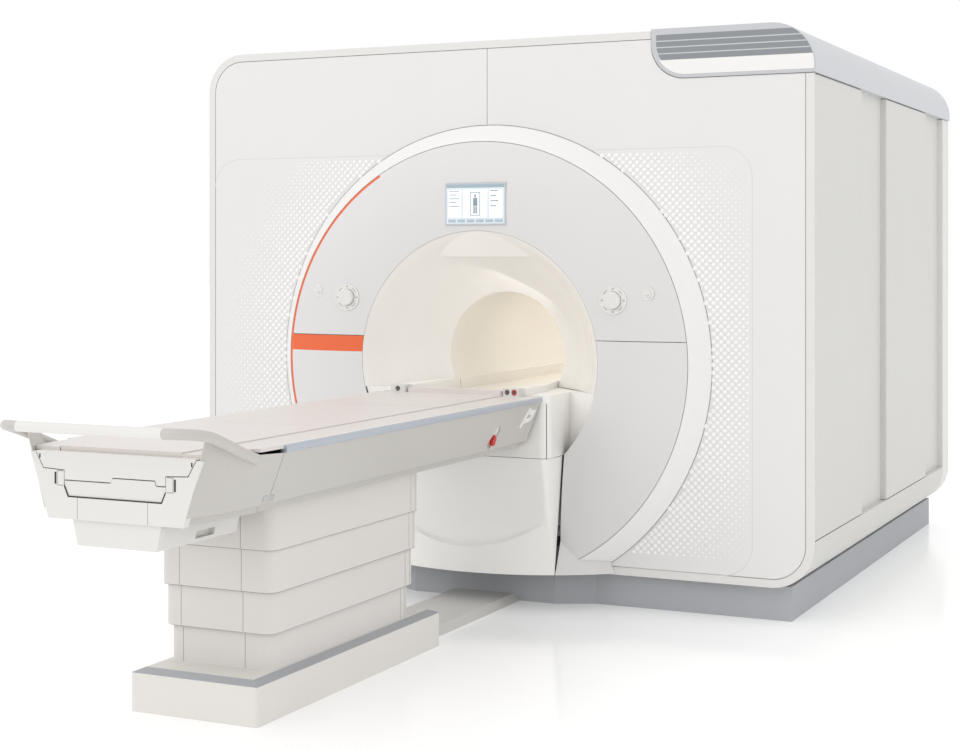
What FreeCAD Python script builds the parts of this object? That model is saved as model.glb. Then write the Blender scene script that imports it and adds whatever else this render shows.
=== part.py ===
import FreeCAD, Part
import math
import os

# Whole-body MRI scanner: magnet enclosure and fixed patient table.
# Millimetres. Origin on the floor under the isocentre, +Z up. The bore runs along Y,
# the patient enters at -Y, and the table stands in front of the machine.

V = FreeCAD.Vector
BIG = 9000.0

# ---------------------------------------------------------------- driving dimensions
# enclosure
ENCLOSURE_WIDTH = 3104.0
ENCLOSURE_HEIGHT = 2448.0
ENCLOSURE_DEPTH = 3110.0
ENCLOSURE_CORNER_R = 190.0
RIM_WIDTH = 35.0
RIM_DEPTH = 20.0
REAR_RIM_DEPTH = 180.0
PANEL_THICKNESS = 30.0
SHELL_WALL = 14.0
COVER_RECESS = 1.0
CARRIER_THICKNESS = 8.0
SEAM = 3.0
# plinth
PLINTH_HEIGHT = 150.0
PLINTH_INSET = 111.0
PLINTH_FRONT_INSET = 50.0
PLINTH_BEAM = 60.0
NOSE_HALF_WIDTH = 360.0
NOSE_ROOT_HALF_WIDTH = 527.0
NOSE_REACH = 32.0
# front ring
RING_Z = 1106.0
RING_OUTER_R = 1095.0
RING_SEAM_R = 1015.0
RING_PROUD = 92.0
BEZEL_INNER_R = 601.0
BEZEL_INNER_PROUD = 119.0
BEZEL_DOME = 18.0
BEZEL_WALL = 8.0
BEZEL_SPLIT_Z = 1212.0
RING_BOTTOM_Z = 155.0
# bore
BORE_Z = 1120.0
BORE_R = 300.0
BORE_ENTRY_DEPTH = 222.0
LINER_WALL = 8.0
GRADIENT_OUTER_R = 444.0
VESSEL_OUTER_R = 900.0
VESSEL_LENGTH = 2640.0
SEAT_GAP = 0.3
# docking pedestal
SHELF_Z = 970.0
PEDESTAL_SEAM_Z = 690.0
PEDESTAL_HALF_WIDTH = 430.0
PEDESTAL_REACH = 280.0
PEDESTAL_CORNER_R = 45.0
VALLEY_DEPTH = 10.0
APRON_REACH = 251.0
APRON_R = 950.0
APRON_SEAM_X = 408.0
# table
TABLE_TOP_Z = 968.0
TABLE_HALF_WIDTH = 400.0
TABLE_HEAD_GAP = 20.0
TABLE_LENGTH = 2522.0
BOARD_HALF_WIDTH = 240.0
BOARD_THICKNESS = 24.0
BOARD_PROUD = 4.0
BOARD_SIDE_GAP = 3.0
COVER_WALL = 5.0
LIFT_TRAVEL = 385.0
# column
COLUMN_FOOT_END_Y = -3806.0
COLUMN_HEAD_END_Y = -2700.0
TIER_HALF_WIDTHS = (214.0, 228.0, 239.0, 245.0)
TIER_BOTTOMS = (156.0, 281.0, 427.0, 575.0)
TIER_CORNER_R = 45.0
TIER_WALL = 4.0
TIER_OVERLAP = 24.0
FOOT_BOX_HALF_WIDTH = 262.0
FOOT_BOX_LENGTH = 1375.0
FOOT_BOX_HEIGHT = 141.0
FOOT_STRIP_WIDTH = 38.0
FOOT_STRIP_RISE = 9.0

# ---------------------------------------------------------------- derived places
HALF_W = ENCLOSURE_WIDTH / 2
FRONT_Y = -ENCLOSURE_DEPTH / 2 + 5.0
REAR_Y = FRONT_Y + ENCLOSURE_DEPTH
BOTTOM_Z = PLINTH_HEIGHT
TOP_Z = BOTTOM_Z + ENCLOSURE_HEIGHT
BORE_END_Y = FRONT_Y + BORE_ENTRY_DEPTH
PEDESTAL_FRONT_Y = FRONT_Y - PEDESTAL_REACH
TABLE_HEAD_Y = PEDESTAL_FRONT_Y - TABLE_HEAD_GAP
TABLE_FOOT_Y = TABLE_HEAD_Y - TABLE_LENGTH
BOARD_TOP_Z = TABLE_TOP_Z + BOARD_PROUD
BOARD_BOTTOM_Z = BOARD_TOP_Z - BOARD_THICKNESS
TRACK_Z = BOARD_BOTTOM_Z - 2.0
CHANNEL_HALF_WIDTH = BOARD_HALF_WIDTH + BOARD_SIDE_GAP
PLINTH_FRONT_Y = FRONT_Y + PLINTH_FRONT_INSET
NOSE_Y = FRONT_Y - NOSE_REACH
FOOT_BOX_HEAD_Y = COLUMN_HEAD_END_Y + 140.0
FOOT_BOX_FOOT_Y = FOOT_BOX_HEAD_Y - FOOT_BOX_LENGTH


# ---------------------------------------------------------------- helpers
def box(x0, x1, y0, y1, z0, z1):
    return Part.makeBox(x1 - x0, y1 - y0, z1 - z0, V(x0, y0, z0))


def prism(points, direction):
    """A closed outline of 3-D points, swept along a vector."""
    wire = Part.makePolygon(points + [points[0]])
    return Part.Face(wire).extrude(direction)


def along_y(outline, y0, y1):
    return prism([V(x, y0, z) for x, z in outline], V(0, y1 - y0, 0))


def along_z(outline, z0, z1):
    return prism([V(x, y, z0) for x, y in outline], V(0, 0, z1 - z0))


def mirrored(shape):
    return shape.mirror(V(0, 0, 0), V(1, 0, 0))


def rounded_block(x0, x1, y0, y1, z0, z1, r, axis="y"):
    """A block with its four edges along one axis rounded."""
    block = box(x0, x1, y0, y1, z0, z1)
    keep = {"x": 0, "y": 1, "z": 2}[axis]
    edges = []
    for e in block.Edges:
        a, b = e.Vertexes[0].Point, e.Vertexes[1].Point
        if abs((b - a)[keep]) > 1e-6:
            edges.append(e)
    return block.makeFillet(r, edges)


def casing_block(inset, y0, y1):
    """The enclosure's rounded outline, moved inwards and swept along Y."""
    return rounded_block(
        -HALF_W + inset, HALF_W - inset, y0, y1,
        BOTTOM_Z + inset, TOP_Z - inset, ENCLOSURE_CORNER_R - inset,
    )


def casing_skin(y0, y1, outer=0.0, inner=PANEL_THICKNESS):
    return casing_block(outer, y0, y1).cut(casing_block(inner, y0 - 1, y1 + 1))


def disc(r, y0, y1, z=RING_Z, x=0.0):
    return Part.makeCylinder(r, y1 - y0, V(x, y0, z), V(0, 1, 0))


def tube(r0, r1, y0, y1, z):
    return disc(r1, y0, y1, z).cut(disc(r0, y0 - 1, y1 + 1, z))


def turned(edges, z=RING_Z):
    """A profile of edges in the plane of the axis, turned about the bore's line."""
    face = Part.Face(Part.Wire(Part.__sortEdges__(edges)))
    return face.revolve(V(0, 0, z), V(0, 1, 0), 360)


def ring_point(r, y, z=RING_Z):
    return V(r, y, z)


def lines(points):
    return [Part.LineSegment(a, b).toShape() for a, b in zip(points, points[1:])]


def plan_outline(half_width, y_front, y_back, r, bulge=0.0):
    """A wire in XY with two rounded front corners and a front that bows forward by bulge."""
    def at(x, y):
        return V(x, y, 0)
    k = r * (1 - math.sqrt(0.5))
    left, right = -half_width, half_width
    start, end = at(left + r, y_front), at(right - r, y_front)
    front = Part.Arc(start, at(0, y_front - bulge), end) if bulge else Part.LineSegment(start, end)
    edges = [
        Part.LineSegment(at(left, y_back), at(left, y_front + r)).toShape(),
        Part.Arc(at(left, y_front + r), at(left + k, y_front + k), at(left + r, y_front)).toShape(),
        front.toShape(),
        Part.Arc(at(right - r, y_front), at(right - k, y_front + k), at(right, y_front + r)).toShape(),
        Part.LineSegment(at(right, y_front + r), at(right, y_back)).toShape(),
        Part.LineSegment(at(right, y_back), at(left, y_back)).toShape(),
    ]
    return Part.Wire(edges)


def lifted(wire, z):
    copy = wire.copy()
    copy.translate(V(0, 0, z))
    return copy


# ---------------------------------------------------------------- bezel surface
class BezelArc:
    """The bezel's dome: one arc from the ring seam in to the funnel edge."""

    def __init__(self, outer_r, inner_r, back=0.0):
        middle_r = (RING_SEAM_R + BEZEL_INNER_R) / 2
        middle_proud = (RING_PROUD + BEZEL_INNER_PROUD) / 2 + BEZEL_DOME
        full = Part.Arc(
            ring_point(RING_SEAM_R, FRONT_Y - RING_PROUD),
            ring_point(middle_r, FRONT_Y - middle_proud),
            ring_point(BEZEL_INNER_R, FRONT_Y - BEZEL_INNER_PROUD),
        )
        curve = full.toShape().Curve
        self.centre, self.radius = curve.Center, curve.Radius
        middle = (outer_r + inner_r) / 2
        self.points = [ring_point(r, self.y(r) + back) for r in (outer_r, middle, inner_r)]
        self.edge = Part.Arc(*self.points).toShape()

    def y(self, r):
        return self.centre.y - math.sqrt(self.radius ** 2 - (r - self.centre.x) ** 2)


def bezel_body(outer_r, inner_r, front, back):
    """The bezel's dome between two radii and two depths behind its surface."""
    face, rear = BezelArc(outer_r, inner_r, front), BezelArc(outer_r, inner_r, back)
    ends = lines([face.points[0], rear.points[0]]) + lines([face.points[2], rear.points[2]])
    return turned([face.edge, rear.edge] + ends)


def surface_y(x, z):
    return BezelArc(RING_SEAM_R, BEZEL_INNER_R).y(math.hypot(x, z - RING_Z))


# ---------------------------------------------------------------- plinth and casing
SKIRT_TOP_Z = BOTTOM_Z + ENCLOSURE_CORNER_R + 18.0
ROOF_SEAM_Z = TOP_Z - ENCLOSURE_CORNER_R - 25.0
ROOF_COVER_X = 813.0
CARRIER_Y = FRONT_Y + RIM_DEPTH
COVER_Y = CARRIER_Y - CARRIER_THICKNESS
SHELL_REAR_Y = REAR_Y - RIM_DEPTH
REAR_RIM_Y = REAR_Y - REAR_RIM_DEPTH
SADDLE_X, SADDLE_Y = 640.0, 780.0
DOCK_POST_X, DOCK_POST = 300.0, 40.0


def make_plinth():
    half = HALF_W - PLINTH_INSET
    rear = REAR_Y - 10.0
    outline = [
        (-half, rear), (-half, PLINTH_FRONT_Y), (-NOSE_ROOT_HALF_WIDTH, PLINTH_FRONT_Y),
        (-NOSE_HALF_WIDTH, NOSE_Y), (NOSE_HALF_WIDTH, NOSE_Y),
        (NOSE_ROOT_HALF_WIDTH, PLINTH_FRONT_Y), (half, PLINTH_FRONT_Y), (half, rear),
    ]
    frame = along_z(outline, 0, PLINTH_HEIGHT)
    inside_front, inside_rear = PLINTH_FRONT_Y + PLINTH_BEAM, rear - PLINTH_BEAM
    frame = frame.cut(box(-half + PLINTH_BEAM, half - PLINTH_BEAM,
                          inside_front, inside_rear, -1, PLINTH_HEIGHT + 1))
    beam_half = 110.0
    for x in (-SADDLE_X, 0.0, SADDLE_X):
        frame = frame.fuse(box(x - beam_half, x + beam_half, inside_front, inside_rear,
                               0, PLINTH_HEIGHT))
    # the docking frame welded to the nose: two posts, a head beam and a knee to the track
    post_front, post_rear = NOSE_Y + 4.0, NOSE_Y + 4.0 + DOCK_POST
    beam_z = TRACK_Z - 12.0
    for x in (-DOCK_POST_X, DOCK_POST_X):
        frame = frame.fuse(box(x - DOCK_POST / 2, x + DOCK_POST / 2, post_front, post_rear,
                               PLINTH_HEIGHT, beam_z))
    frame = frame.fuse(box(-DOCK_POST_X - DOCK_POST / 2, DOCK_POST_X + DOCK_POST / 2,
                           post_front, post_rear, beam_z - DOCK_POST, beam_z))
    return frame.removeSplitter()


def make_casing_shell():
    inner = PANEL_THICKNESS + SHELL_WALL
    shell = casing_skin(CARRIER_Y, SHELL_REAR_Y, PANEL_THICKNESS, inner)
    shell = shell.cut(box(-HALF_W + 300, HALF_W - 300, CARRIER_Y - 1, SHELL_REAR_Y + 1,
                          0, BOTTOM_Z + 100))
    carrier = casing_block(RIM_WIDTH, COVER_Y, CARRIER_Y)
    carrier = carrier.cut(disc(RING_OUTER_R - 55, FRONT_Y - 5, CARRIER_Y + 5))
    carrier = carrier.cut(box(-700, 700, FRONT_Y - 5, CARRIER_Y + 5, 0, BOTTOM_Z + 240))
    return shell.fuse(carrier).removeSplitter()


def vent_outline(grow=0.0):
    """The louvred corner block seen from the front: square but for its lower left corner."""
    r = 160.0 - grow
    x0, z0 = ROOF_COVER_X - grow, ROOF_SEAM_Z - grow
    x1, z1 = HALF_W + 200.0, TOP_Z + 200.0
    k = r * (1 - math.sqrt(0.5))
    return x0, z0, x1, z1, r, k


def vent_block(y0, y1, grow=0.0, clip=0.0):
    x0, z0, x1, z1, r, k = vent_outline(grow)

    def at(x, z):
        return V(x, y0, z)
    edges = [
        Part.LineSegment(at(x0, z1), at(x0, z0 + r)).toShape(),
        Part.Arc(at(x0, z0 + r), at(x0 + k, z0 + k), at(x0 + r, z0)).toShape(),
        Part.LineSegment(at(x0 + r, z0), at(x1, z0)).toShape(),
        Part.LineSegment(at(x1, z0), at(x1, z1)).toShape(),
        Part.LineSegment(at(x1, z1), at(x0, z1)).toShape(),
    ]
    block = Part.Face(Part.Wire(edges)).extrude(V(0, y1 - y0, 0))
    return block.common(casing_block(clip, y0 - 1, y1 + 1))


def make_front_rim():
    rim = casing_skin(FRONT_Y, CARRIER_Y, 0.0, RIM_WIDTH)
    rim = rim.cut(disc(RING_OUTER_R + SEAM, FRONT_Y - 1, CARRIER_Y + 1))
    rim = rim.cut(box(-600, 600, FRONT_Y - 1, CARRIER_Y + 1, 0, 600))
    return rim.cut(vent_block(FRONT_Y - 1, CARRIER_Y + 1, SEAM))


def make_front_cover():
    cover = casing_block(RIM_WIDTH + SEAM, FRONT_Y + COVER_RECESS, COVER_Y)
    cover = cover.cut(disc(RING_OUTER_R + SEAM, FRONT_Y - 5, CARRIER_Y))
    return cover.cut(vent_block(FRONT_Y - 5, CARRIER_Y, SEAM))


def make_skirt():
    skin = casing_skin(CARRIER_Y + SEAM, REAR_RIM_Y - SEAM)
    return skin.common(box(HALF_W - 300, HALF_W + 1, -BIG, BIG, 0, SKIRT_TOP_Z))


DOOR_SPANS = ((0.0, 875.0), (1411.0, 2410.0))


def make_doors():
    z0, z1 = SKIRT_TOP_Z + SEAM, ROOF_SEAM_Z - SEAM
    start = CARRIER_Y + SEAM
    doors = []
    for y0, y1 in DOOR_SPANS:
        door = box(HALF_W - PANEL_THICKNESS, HALF_W, start + y0, start + y1, z0, z1)
        outer = [e for e in door.Edges
                 if abs(e.Vertexes[0].X - HALF_W) < 1e-6 and abs(e.Vertexes[1].X - HALF_W) < 1e-6]
        doors.append(door.makeFillet(6.0, outer))
    return Part.makeCompound(doors)


def make_roof_cover():
    skin = casing_skin(CARRIER_Y + SEAM, REAR_RIM_Y - SEAM)
    return skin.common(box(-HALF_W - 1, ROOF_COVER_X - SEAM, -BIG, BIG, ROOF_SEAM_Z, TOP_Z + 1))


TOP_COVER_PROUD = 8.0


def make_grey_top_cover():
    skin = casing_skin(COVER_Y, REAR_Y, -TOP_COVER_PROUD, PANEL_THICKNESS)
    return skin.common(box(ROOF_COVER_X, HALF_W + 20, -BIG, BIG, ROOF_SEAM_Z, TOP_Z + 20))


LOUVRE_COUNT = 4
VENT_PROUD = 4.0
VENT_X0, VENT_X1 = ROOF_COVER_X + 45.0, HALF_W - 75.0
VENT_Z0, VENT_Z1 = ROOF_SEAM_Z + 78.0, TOP_Z - 22.0


def make_vent_frame():
    y0 = FRONT_Y - VENT_PROUD
    frame = vent_block(y0, COVER_Y, 0.0, -TOP_COVER_PROUD)
    return frame.cut(vent_window(y0 - 1, COVER_Y + 1)).removeSplitter()


def vent_window(y0, y1):
    """The louvred opening: its left end slants with the block's corner."""
    slant = 70.0
    outline = [(VENT_X0 + slant, VENT_Z0), (VENT_X1, VENT_Z0), (VENT_X1 - 20, VENT_Z1), (VENT_X0, VENT_Z1)]
    return along_y(outline, y0, y1)


def make_louvres():
    pitch = (VENT_Z1 - VENT_Z0) / LOUVRE_COUNT
    slats = []
    for i in range(LOUVRE_COUNT):
        z = VENT_Z0 + i * pitch
        slat = prism(
            [V(0, COVER_Y, z), V(0, FRONT_Y - 1, z + 4), V(0, FRONT_Y - 1, z + 7),
             V(0, COVER_Y, z + pitch * 0.75)],
            V(BIG, 0, 0),
        )
        slats.append(slat.common(vent_window(FRONT_Y - 2, COVER_Y)))
    return Part.makeCompound(slats)


def make_rear_rim():
    rim = casing_skin(REAR_RIM_Y, REAR_Y)
    return rim.cut(box(ROOF_COVER_X - SEAM, HALF_W + 30, -BIG, BIG, ROOF_SEAM_Z - SEAM, TOP_Z + 1))


REAR_BELL_R = 460.0


def bell(radii, wall):
    """A flared shell through circles given as (radius, y, centre height)."""

    def loft(grow):
        wires = [Part.Wire(Part.makeCircle(r + grow, V(0, y, z), V(0, 1, 0))) for r, y, z in radii]
        return Part.makeLoft(wires, True, False)
    return loft(wall).cut(loft(0.0))


def make_rear_cover():
    y0 = SHELL_REAR_Y
    plate = casing_block(PANEL_THICKNESS + SEAM, y0, y0 + 12)
    bell_end = -BORE_END_Y
    flare = bell([(BORE_R, bell_end, BORE_Z), (BORE_R + 25, bell_end + 60, BORE_Z),
                  (REAR_BELL_R - 50, y0 - 50, BORE_Z), (REAR_BELL_R, y0 + 12, BORE_Z)], 8.0)
    plate = plate.cut(disc(REAR_BELL_R + 4, y0 - 1, y0 + 13, BORE_Z))
    return plate.fuse(flare).removeSplitter()


# ---------------------------------------------------------------- front ring
def flare_solid(grow=0.0):
    """The skirt that swells out of the ring around the docking pedestal."""
    back = FRONT_Y - 4
    half = math.sqrt(APRON_R ** 2 - (APRON_R - APRON_REACH + 4) ** 2)
    low = plan_segment(half, FRONT_Y - APRON_REACH, back, grow)
    top = plan_segment(PEDESTAL_HALF_WIDTH + 8.0, FRONT_Y - BEZEL_INNER_PROUD - 4.0, back, grow)
    return Part.makeLoft([lifted(low, RING_BOTTOM_Z), lifted(top, PEDESTAL_SEAM_Z)], True, True)


def plan_segment(half, y_front, y_back, grow):
    left, right = V(-half - grow, y_back, 0), V(half + grow, y_back, 0)
    arc = Part.Arc(left, V(0, y_front - grow, 0), right)
    return Part.Wire([arc.toShape(), Part.LineSegment(right, left).toShape()])


def below(z):
    return box(-BIG, BIG, -BIG, BIG, -BIG, z)


def make_bevel_ring():
    foot, wall, lip = 24.0, 10.0, 30.0
    seam_r = RING_SEAM_R + SEAM / 2
    y_tip = FRONT_Y - RING_PROUD
    y_lip = y_tip + 10.0
    points = [
        ring_point(RING_OUTER_R, COVER_Y), ring_point(RING_OUTER_R, FRONT_Y),
        ring_point(seam_r, y_tip), ring_point(seam_r, y_lip),
        ring_point(seam_r - lip, y_lip), ring_point(seam_r - lip, y_lip + wall),
        ring_point(seam_r + 4, y_lip + wall), ring_point(RING_OUTER_R - foot, FRONT_Y + 2),
        ring_point(RING_OUTER_R - foot, COVER_Y), ring_point(RING_OUTER_R, COVER_Y),
    ]
    ring = turned(lines(points)).cut(below(RING_BOTTOM_Z))
    return ring.cut(flare_solid(SEAM))


def seam_wedge(grow=0.0):
    """The space between the two near-vertical seams beside the pedestal."""
    top, low = PEDESTAL_HALF_WIDTH + 11.0 + grow, APRON_SEAM_X + grow
    z0 = RING_BOTTOM_Z - 50
    outline = [(-low, z0), (low, z0), (top, PEDESTAL_SEAM_Z + 40), (-top, PEDESTAL_SEAM_Z + 40)]
    return along_y(outline, -BIG / 4, BIG / 4)


CONTROL_X, CONTROL_Z = 678.0, 1393.0
BUTTON_X, BUTTON_Z = 838.0, 1425.0
CONTROL_R = 63.0
KNOB_R = 39.0
BUTTON_RING_R = 29.0
BUTTON_R = 19.0
SCREEN_HALF_WIDTH, SCREEN_Z0, SCREEN_Z1 = 154.0, 1734.0, 1928.0
STRIPE_WIDTH = 11.0
BAND_Z0 = 1135.0
FILM = 1.5


def stripe_zone():
    """The orange edge line and the orange bar on the patient's left of the ring."""
    outer_r = RING_SEAM_R - SEAM / 2
    line = tube(outer_r - STRIPE_WIDTH, outer_r + 1, -BIG / 4, BIG / 4, RING_Z)
    far = 2 * RING_OUTER_R
    fan = [(0, RING_Z)]
    for degrees in (121, 150, 180, 212):
        a = math.radians(degrees)
        fan.append((far * math.cos(a), RING_Z + far * math.sin(a)))
    line = line.common(along_y(fan, -BIG / 4, BIG / 4))
    bar = box(-RING_SEAM_R, -BEZEL_INNER_R + 30, -BIG / 4, BIG / 4, BAND_Z0, BEZEL_SPLIT_Z - SEAM / 2)
    return line, bar


def make_bezel():
    seam_r = RING_SEAM_R - SEAM / 2
    inner_r = BEZEL_INNER_R + SEAM / 4
    bezel = bezel_body(seam_r, inner_r, 0.0, BEZEL_WALL)
    film = bezel_body(seam_r, inner_r, 0.0, FILM)
    line, bar = stripe_zone()
    margin = tube(seam_r - STRIPE_WIDTH - SEAT_GAP, seam_r + 5, -BIG / 4, BIG / 4, RING_Z)
    bar = bar.cut(margin)
    accents = Part.makeCompound([film.common(line), film.common(bar)])
    bezel = bezel.cut(film.common(line)).cut(film.common(bar))
    for side in (-1, 1):
        bezel = bezel.cut(disc(CONTROL_R + 0.4, -BIG / 4, BIG / 4, CONTROL_Z, side * CONTROL_X))
        bezel = bezel.cut(disc(BUTTON_RING_R + 0.4, -BIG / 4, BIG / 4, BUTTON_Z, side * BUTTON_X))
    gap = 0.5
    bezel = bezel.cut(box(-SCREEN_HALF_WIDTH - gap, SCREEN_HALF_WIDTH + gap, -BIG / 4, BIG / 4,
                          SCREEN_Z0 - gap, SCREEN_Z1 + gap))
    upper = bezel.cut(below(BEZEL_SPLIT_Z + SEAM / 2))
    lower = bezel.common(below(BEZEL_SPLIT_Z - SEAM / 2)).cut(below(RING_BOTTOM_Z))
    # the skirt's wings join the lower bezel outside the pedestal's seams
    hollow = flare_solid(-BEZEL_WALL)
    hollow.translate(V(0, BEZEL_WALL, 0))
    wings = flare_solid().cut(hollow).cut(below(RING_BOTTOM_Z))
    wings = wings.cut(disc(BEZEL_INNER_R + SEAM / 4, -BIG / 4, BIG / 4))
    lower = lower.cut(flare_solid(-0.5)).fuse(wings)
    lower = lower.cut(seam_wedge(SEAM / 2))
    right = lower.common(box(0, BIG, -BIG / 2, BIG / 2, 0, BIG)).removeSplitter()
    left = lower.common(box(-BIG, 0, -BIG / 2, BIG / 2, 0, BIG)).removeSplitter()
    return upper, left, right, accents


FUNNEL_STATIONS = ((0.0, 0.0), (0.13, 0.115), (0.33, 0.27), (0.56, 0.485), (0.8, 0.73), (0.95, 0.925), (1.0, 1.0))


def funnel_circles():
    """Radius, place and height of the entry funnel's sections, from the ring to the bore."""
    y0, y1 = FRONT_Y - BEZEL_INNER_PROUD + 1.0, BORE_END_Y
    r0 = BEZEL_INNER_R - SEAM
    circles = []
    for depth, narrow in FUNNEL_STATIONS:
        circles.append((
            r0 + (BORE_R - r0) * narrow,
            y0 + (y1 - y0) * depth,
            RING_Z + (BORE_Z - RING_Z) * depth,
        ))
    return circles


BROW_Z = 1588.0
BROW_EDGE_DEPTH = 88.0
FUNNEL_WALL = 8.0
FUNNEL_LIP = 2.0


def make_funnel():
    circles = funnel_circles()
    shell = bell(circles, FUNNEL_WALL)
    y0, r0 = circles[0][1], circles[0][0]
    # the brow: a flat-edged hood over the entry
    wires = [Part.Wire(Part.makeCircle(r + 3, V(0, y, z), V(0, 1, 0))) for r, y, z in circles]
    cavity = Part.makeLoft(wires, True, False)
    edge_y = y0 + BROW_EDGE_DEPTH
    wedge = prism(
        [V(-BIG, y0, RING_Z + r0 + 1), V(-BIG, edge_y, BROW_Z), V(-BIG, edge_y + 200, BROW_Z),
         V(-BIG, edge_y + 200, RING_Z + r0 + 1)],
        V(2 * BIG, 0, 0),
    )
    shell = shell.fuse(cavity.common(wedge))
    # the flange behind the bezel's inner edge
    flange_y = FRONT_Y - BEZEL_INNER_PROUD + BEZEL_WALL + 2 * SEAT_GAP
    shell = shell.fuse(tube(r0 + 1, r0 + 36, flange_y, flange_y + 6, RING_Z))
    shell = shell.cut(tube(r0 + FUNNEL_LIP, r0 + 80, y0 - 5, flange_y, RING_Z))
    return shell.cut(below(SHELF_Z + SEAT_GAP)).removeSplitter()


# ---------------------------------------------------------------- docking pedestal
def make_pedestal_upper():
    wing_x = BEZEL_INNER_R
    valley_y = FRONT_Y - VALLEY_DEPTH
    ring_y = FRONT_Y - BEZEL_INNER_PROUD - 2
    back_y = BORE_END_Y - 4
    front = plan_outline(PEDESTAL_HALF_WIDTH, PEDESTAL_FRONT_Y, valley_y + 60, PEDESTAL_CORNER_R)
    z0, z1 = PEDESTAL_SEAM_Z + SEAM / 2, SHELF_Z
    block = Part.Face(lifted(front, z0)).extrude(V(0, 0, z1 - z0))
    rear_half = 262.0
    wings = along_z(
        [(-wing_x, ring_y), (-PEDESTAL_HALF_WIDTH + 22, valley_y), (PEDESTAL_HALF_WIDTH - 22, valley_y),
         (wing_x, ring_y), (wing_x, ring_y + 20), (rear_half, back_y), (-rear_half, back_y),
         (-wing_x, ring_y + 20)], z0, z1)
    body = block.fuse(wings)
    body = body.cut(box(-PEDESTAL_HALF_WIDTH + 12, PEDESTAL_HALF_WIDTH - 12, PEDESTAL_FRONT_Y + 12,
                        valley_y + 30, z0 - 1, TRACK_Z - 12))
    body = body.cut(box(-400, 400, valley_y, back_y - 12, z0 - 1, TRACK_Z - 12))
    body = body.cut(box(-CHANNEL_HALF_WIDTH, CHANNEL_HALF_WIDTH, -BIG / 2, BIG / 2, TRACK_Z, BIG))
    rails = along_z(
        [(CHANNEL_HALF_WIDTH + 2, PEDESTAL_FRONT_Y + 8), (318, PEDESTAL_FRONT_Y + 8), (318, FRONT_Y - 30),
         (rear_half + 6, back_y), (CHANNEL_HALF_WIDTH + 2, back_y)], SHELF_Z - 1, SHELF_Z + 30)
    inside = disc(BEZEL_INNER_R - SEAM, -BIG / 4, BIG / 4)
    inside = inside.cut(below(z0))
    body = body.fuse(rails).fuse(mirrored(rails)).common(inside)
    # the entry funnel closes in on the shelf's rear corners
    circles = funnel_circles()
    wires = [Part.Wire(Part.makeCircle(r - 1, V(0, y, z), V(0, 1, 0))) for r, y, z in circles]
    free = Part.makeLoft(wires, True, False)
    lead = disc(circles[0][0] - 1, -BIG / 4, circles[0][1] + 0.01)
    above = body.cut(below(SHELF_Z)).common(free.fuse(lead))
    return body.common(below(SHELF_Z)).fuse(above).removeSplitter()


APRON_WALL = 10.0


def make_pedestal_lower():
    z0, z1 = RING_BOTTOM_Z, PEDESTAL_SEAM_Z - SEAM / 2
    back = FRONT_Y - VALLEY_DEPTH
    apron_front = FRONT_Y - APRON_REACH
    drop = APRON_R - math.sqrt(APRON_R ** 2 - APRON_SEAM_X ** 2)

    def apron(inset, y_back):
        half = PEDESTAL_HALF_WIDTH
        low = plan_outline(half + 30 - inset, apron_front + drop + inset, y_back, 40.0, drop)
        middle = plan_outline(half + 20 - inset, apron_front + drop * 0.75 + inset, y_back, 42.0, drop * 0.45)
        top = plan_outline(half - inset, PEDESTAL_FRONT_Y + inset, y_back, PEDESTAL_CORNER_R, 0.5)
        sections = [lifted(low, z0), lifted(middle, (z0 + z1) / 2 - 60), lifted(top, z1)]
        return Part.makeLoft(sections, True, True)

    cover = apron(0.0, back)
    cover = cover.common(seam_wedge(-SEAM / 2))
    hollow = apron(APRON_WALL, back + 10).common(seam_wedge(-SEAM / 2 - APRON_WALL))
    cover = cover.cut(hollow.common(below(z1 - APRON_WALL)))
    # the top flange closes round the dock frame's posts
    post_half = DOCK_POST_X + DOCK_POST / 2
    return cover.cut(box(-post_half, post_half, NOSE_Y - 10, back + 1, z0 - 1, z1 + 1))


# ---------------------------------------------------------------- magnet
def make_liner():
    return tube(BORE_R, BORE_R + LINER_WALL, BORE_END_Y, -BORE_END_Y, BORE_Z)


def make_gradient_coil():
    half = 800.0
    return tube(BORE_R + LINER_WALL + SEAT_GAP, GRADIENT_OUTER_R - SEAT_GAP, -half, half, BORE_Z)


def make_cryostat():
    half = VESSEL_LENGTH / 2
    body = disc(VESSEL_OUTER_R, -half, half, BORE_Z)
    rims = [e for e in body.Edges if e.Curve.TypeId == "Part::GeomCircle"]
    body = body.makeFillet(70.0, rims)
    body = body.cut(disc(GRADIENT_OUTER_R, -half - 1, half + 1, BORE_Z))
    # the service turret on the vessel's crown, with its burst-disc outlet
    turret = Part.makeCylinder(170, 330, V(-250, 250, BORE_Z + VESSEL_OUTER_R - 60), V(0, 0, 1))
    outlet = Part.makeCylinder(100, 700, V(-250, 250, BORE_Z + VESSEL_OUTER_R + 150), V(0, 1, 0))
    return body.fuse(turret).fuse(outlet)


COLD_HEAD_X, COLD_HEAD_Y = 260.0, 250.0


def make_cold_head():
    z = BORE_Z + VESSEL_OUTER_R
    bore = math.sqrt(VESSEL_OUTER_R ** 2 - COLD_HEAD_X ** 2) + BORE_Z
    neck = Part.makeCylinder(90, z + 200 - bore + 40, V(COLD_HEAD_X, COLD_HEAD_Y, bore - 40), V(0, 0, 1))
    motor = rounded_block(COLD_HEAD_X - 110, COLD_HEAD_X + 110, COLD_HEAD_Y - 90, COLD_HEAD_Y + 90,
                          z + 195, z + 360, 20, "z")
    head = neck.fuse(motor)
    return head.cut(disc(VESSEL_OUTER_R + SEAT_GAP, -BIG / 4, BIG / 4, BORE_Z))


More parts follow.
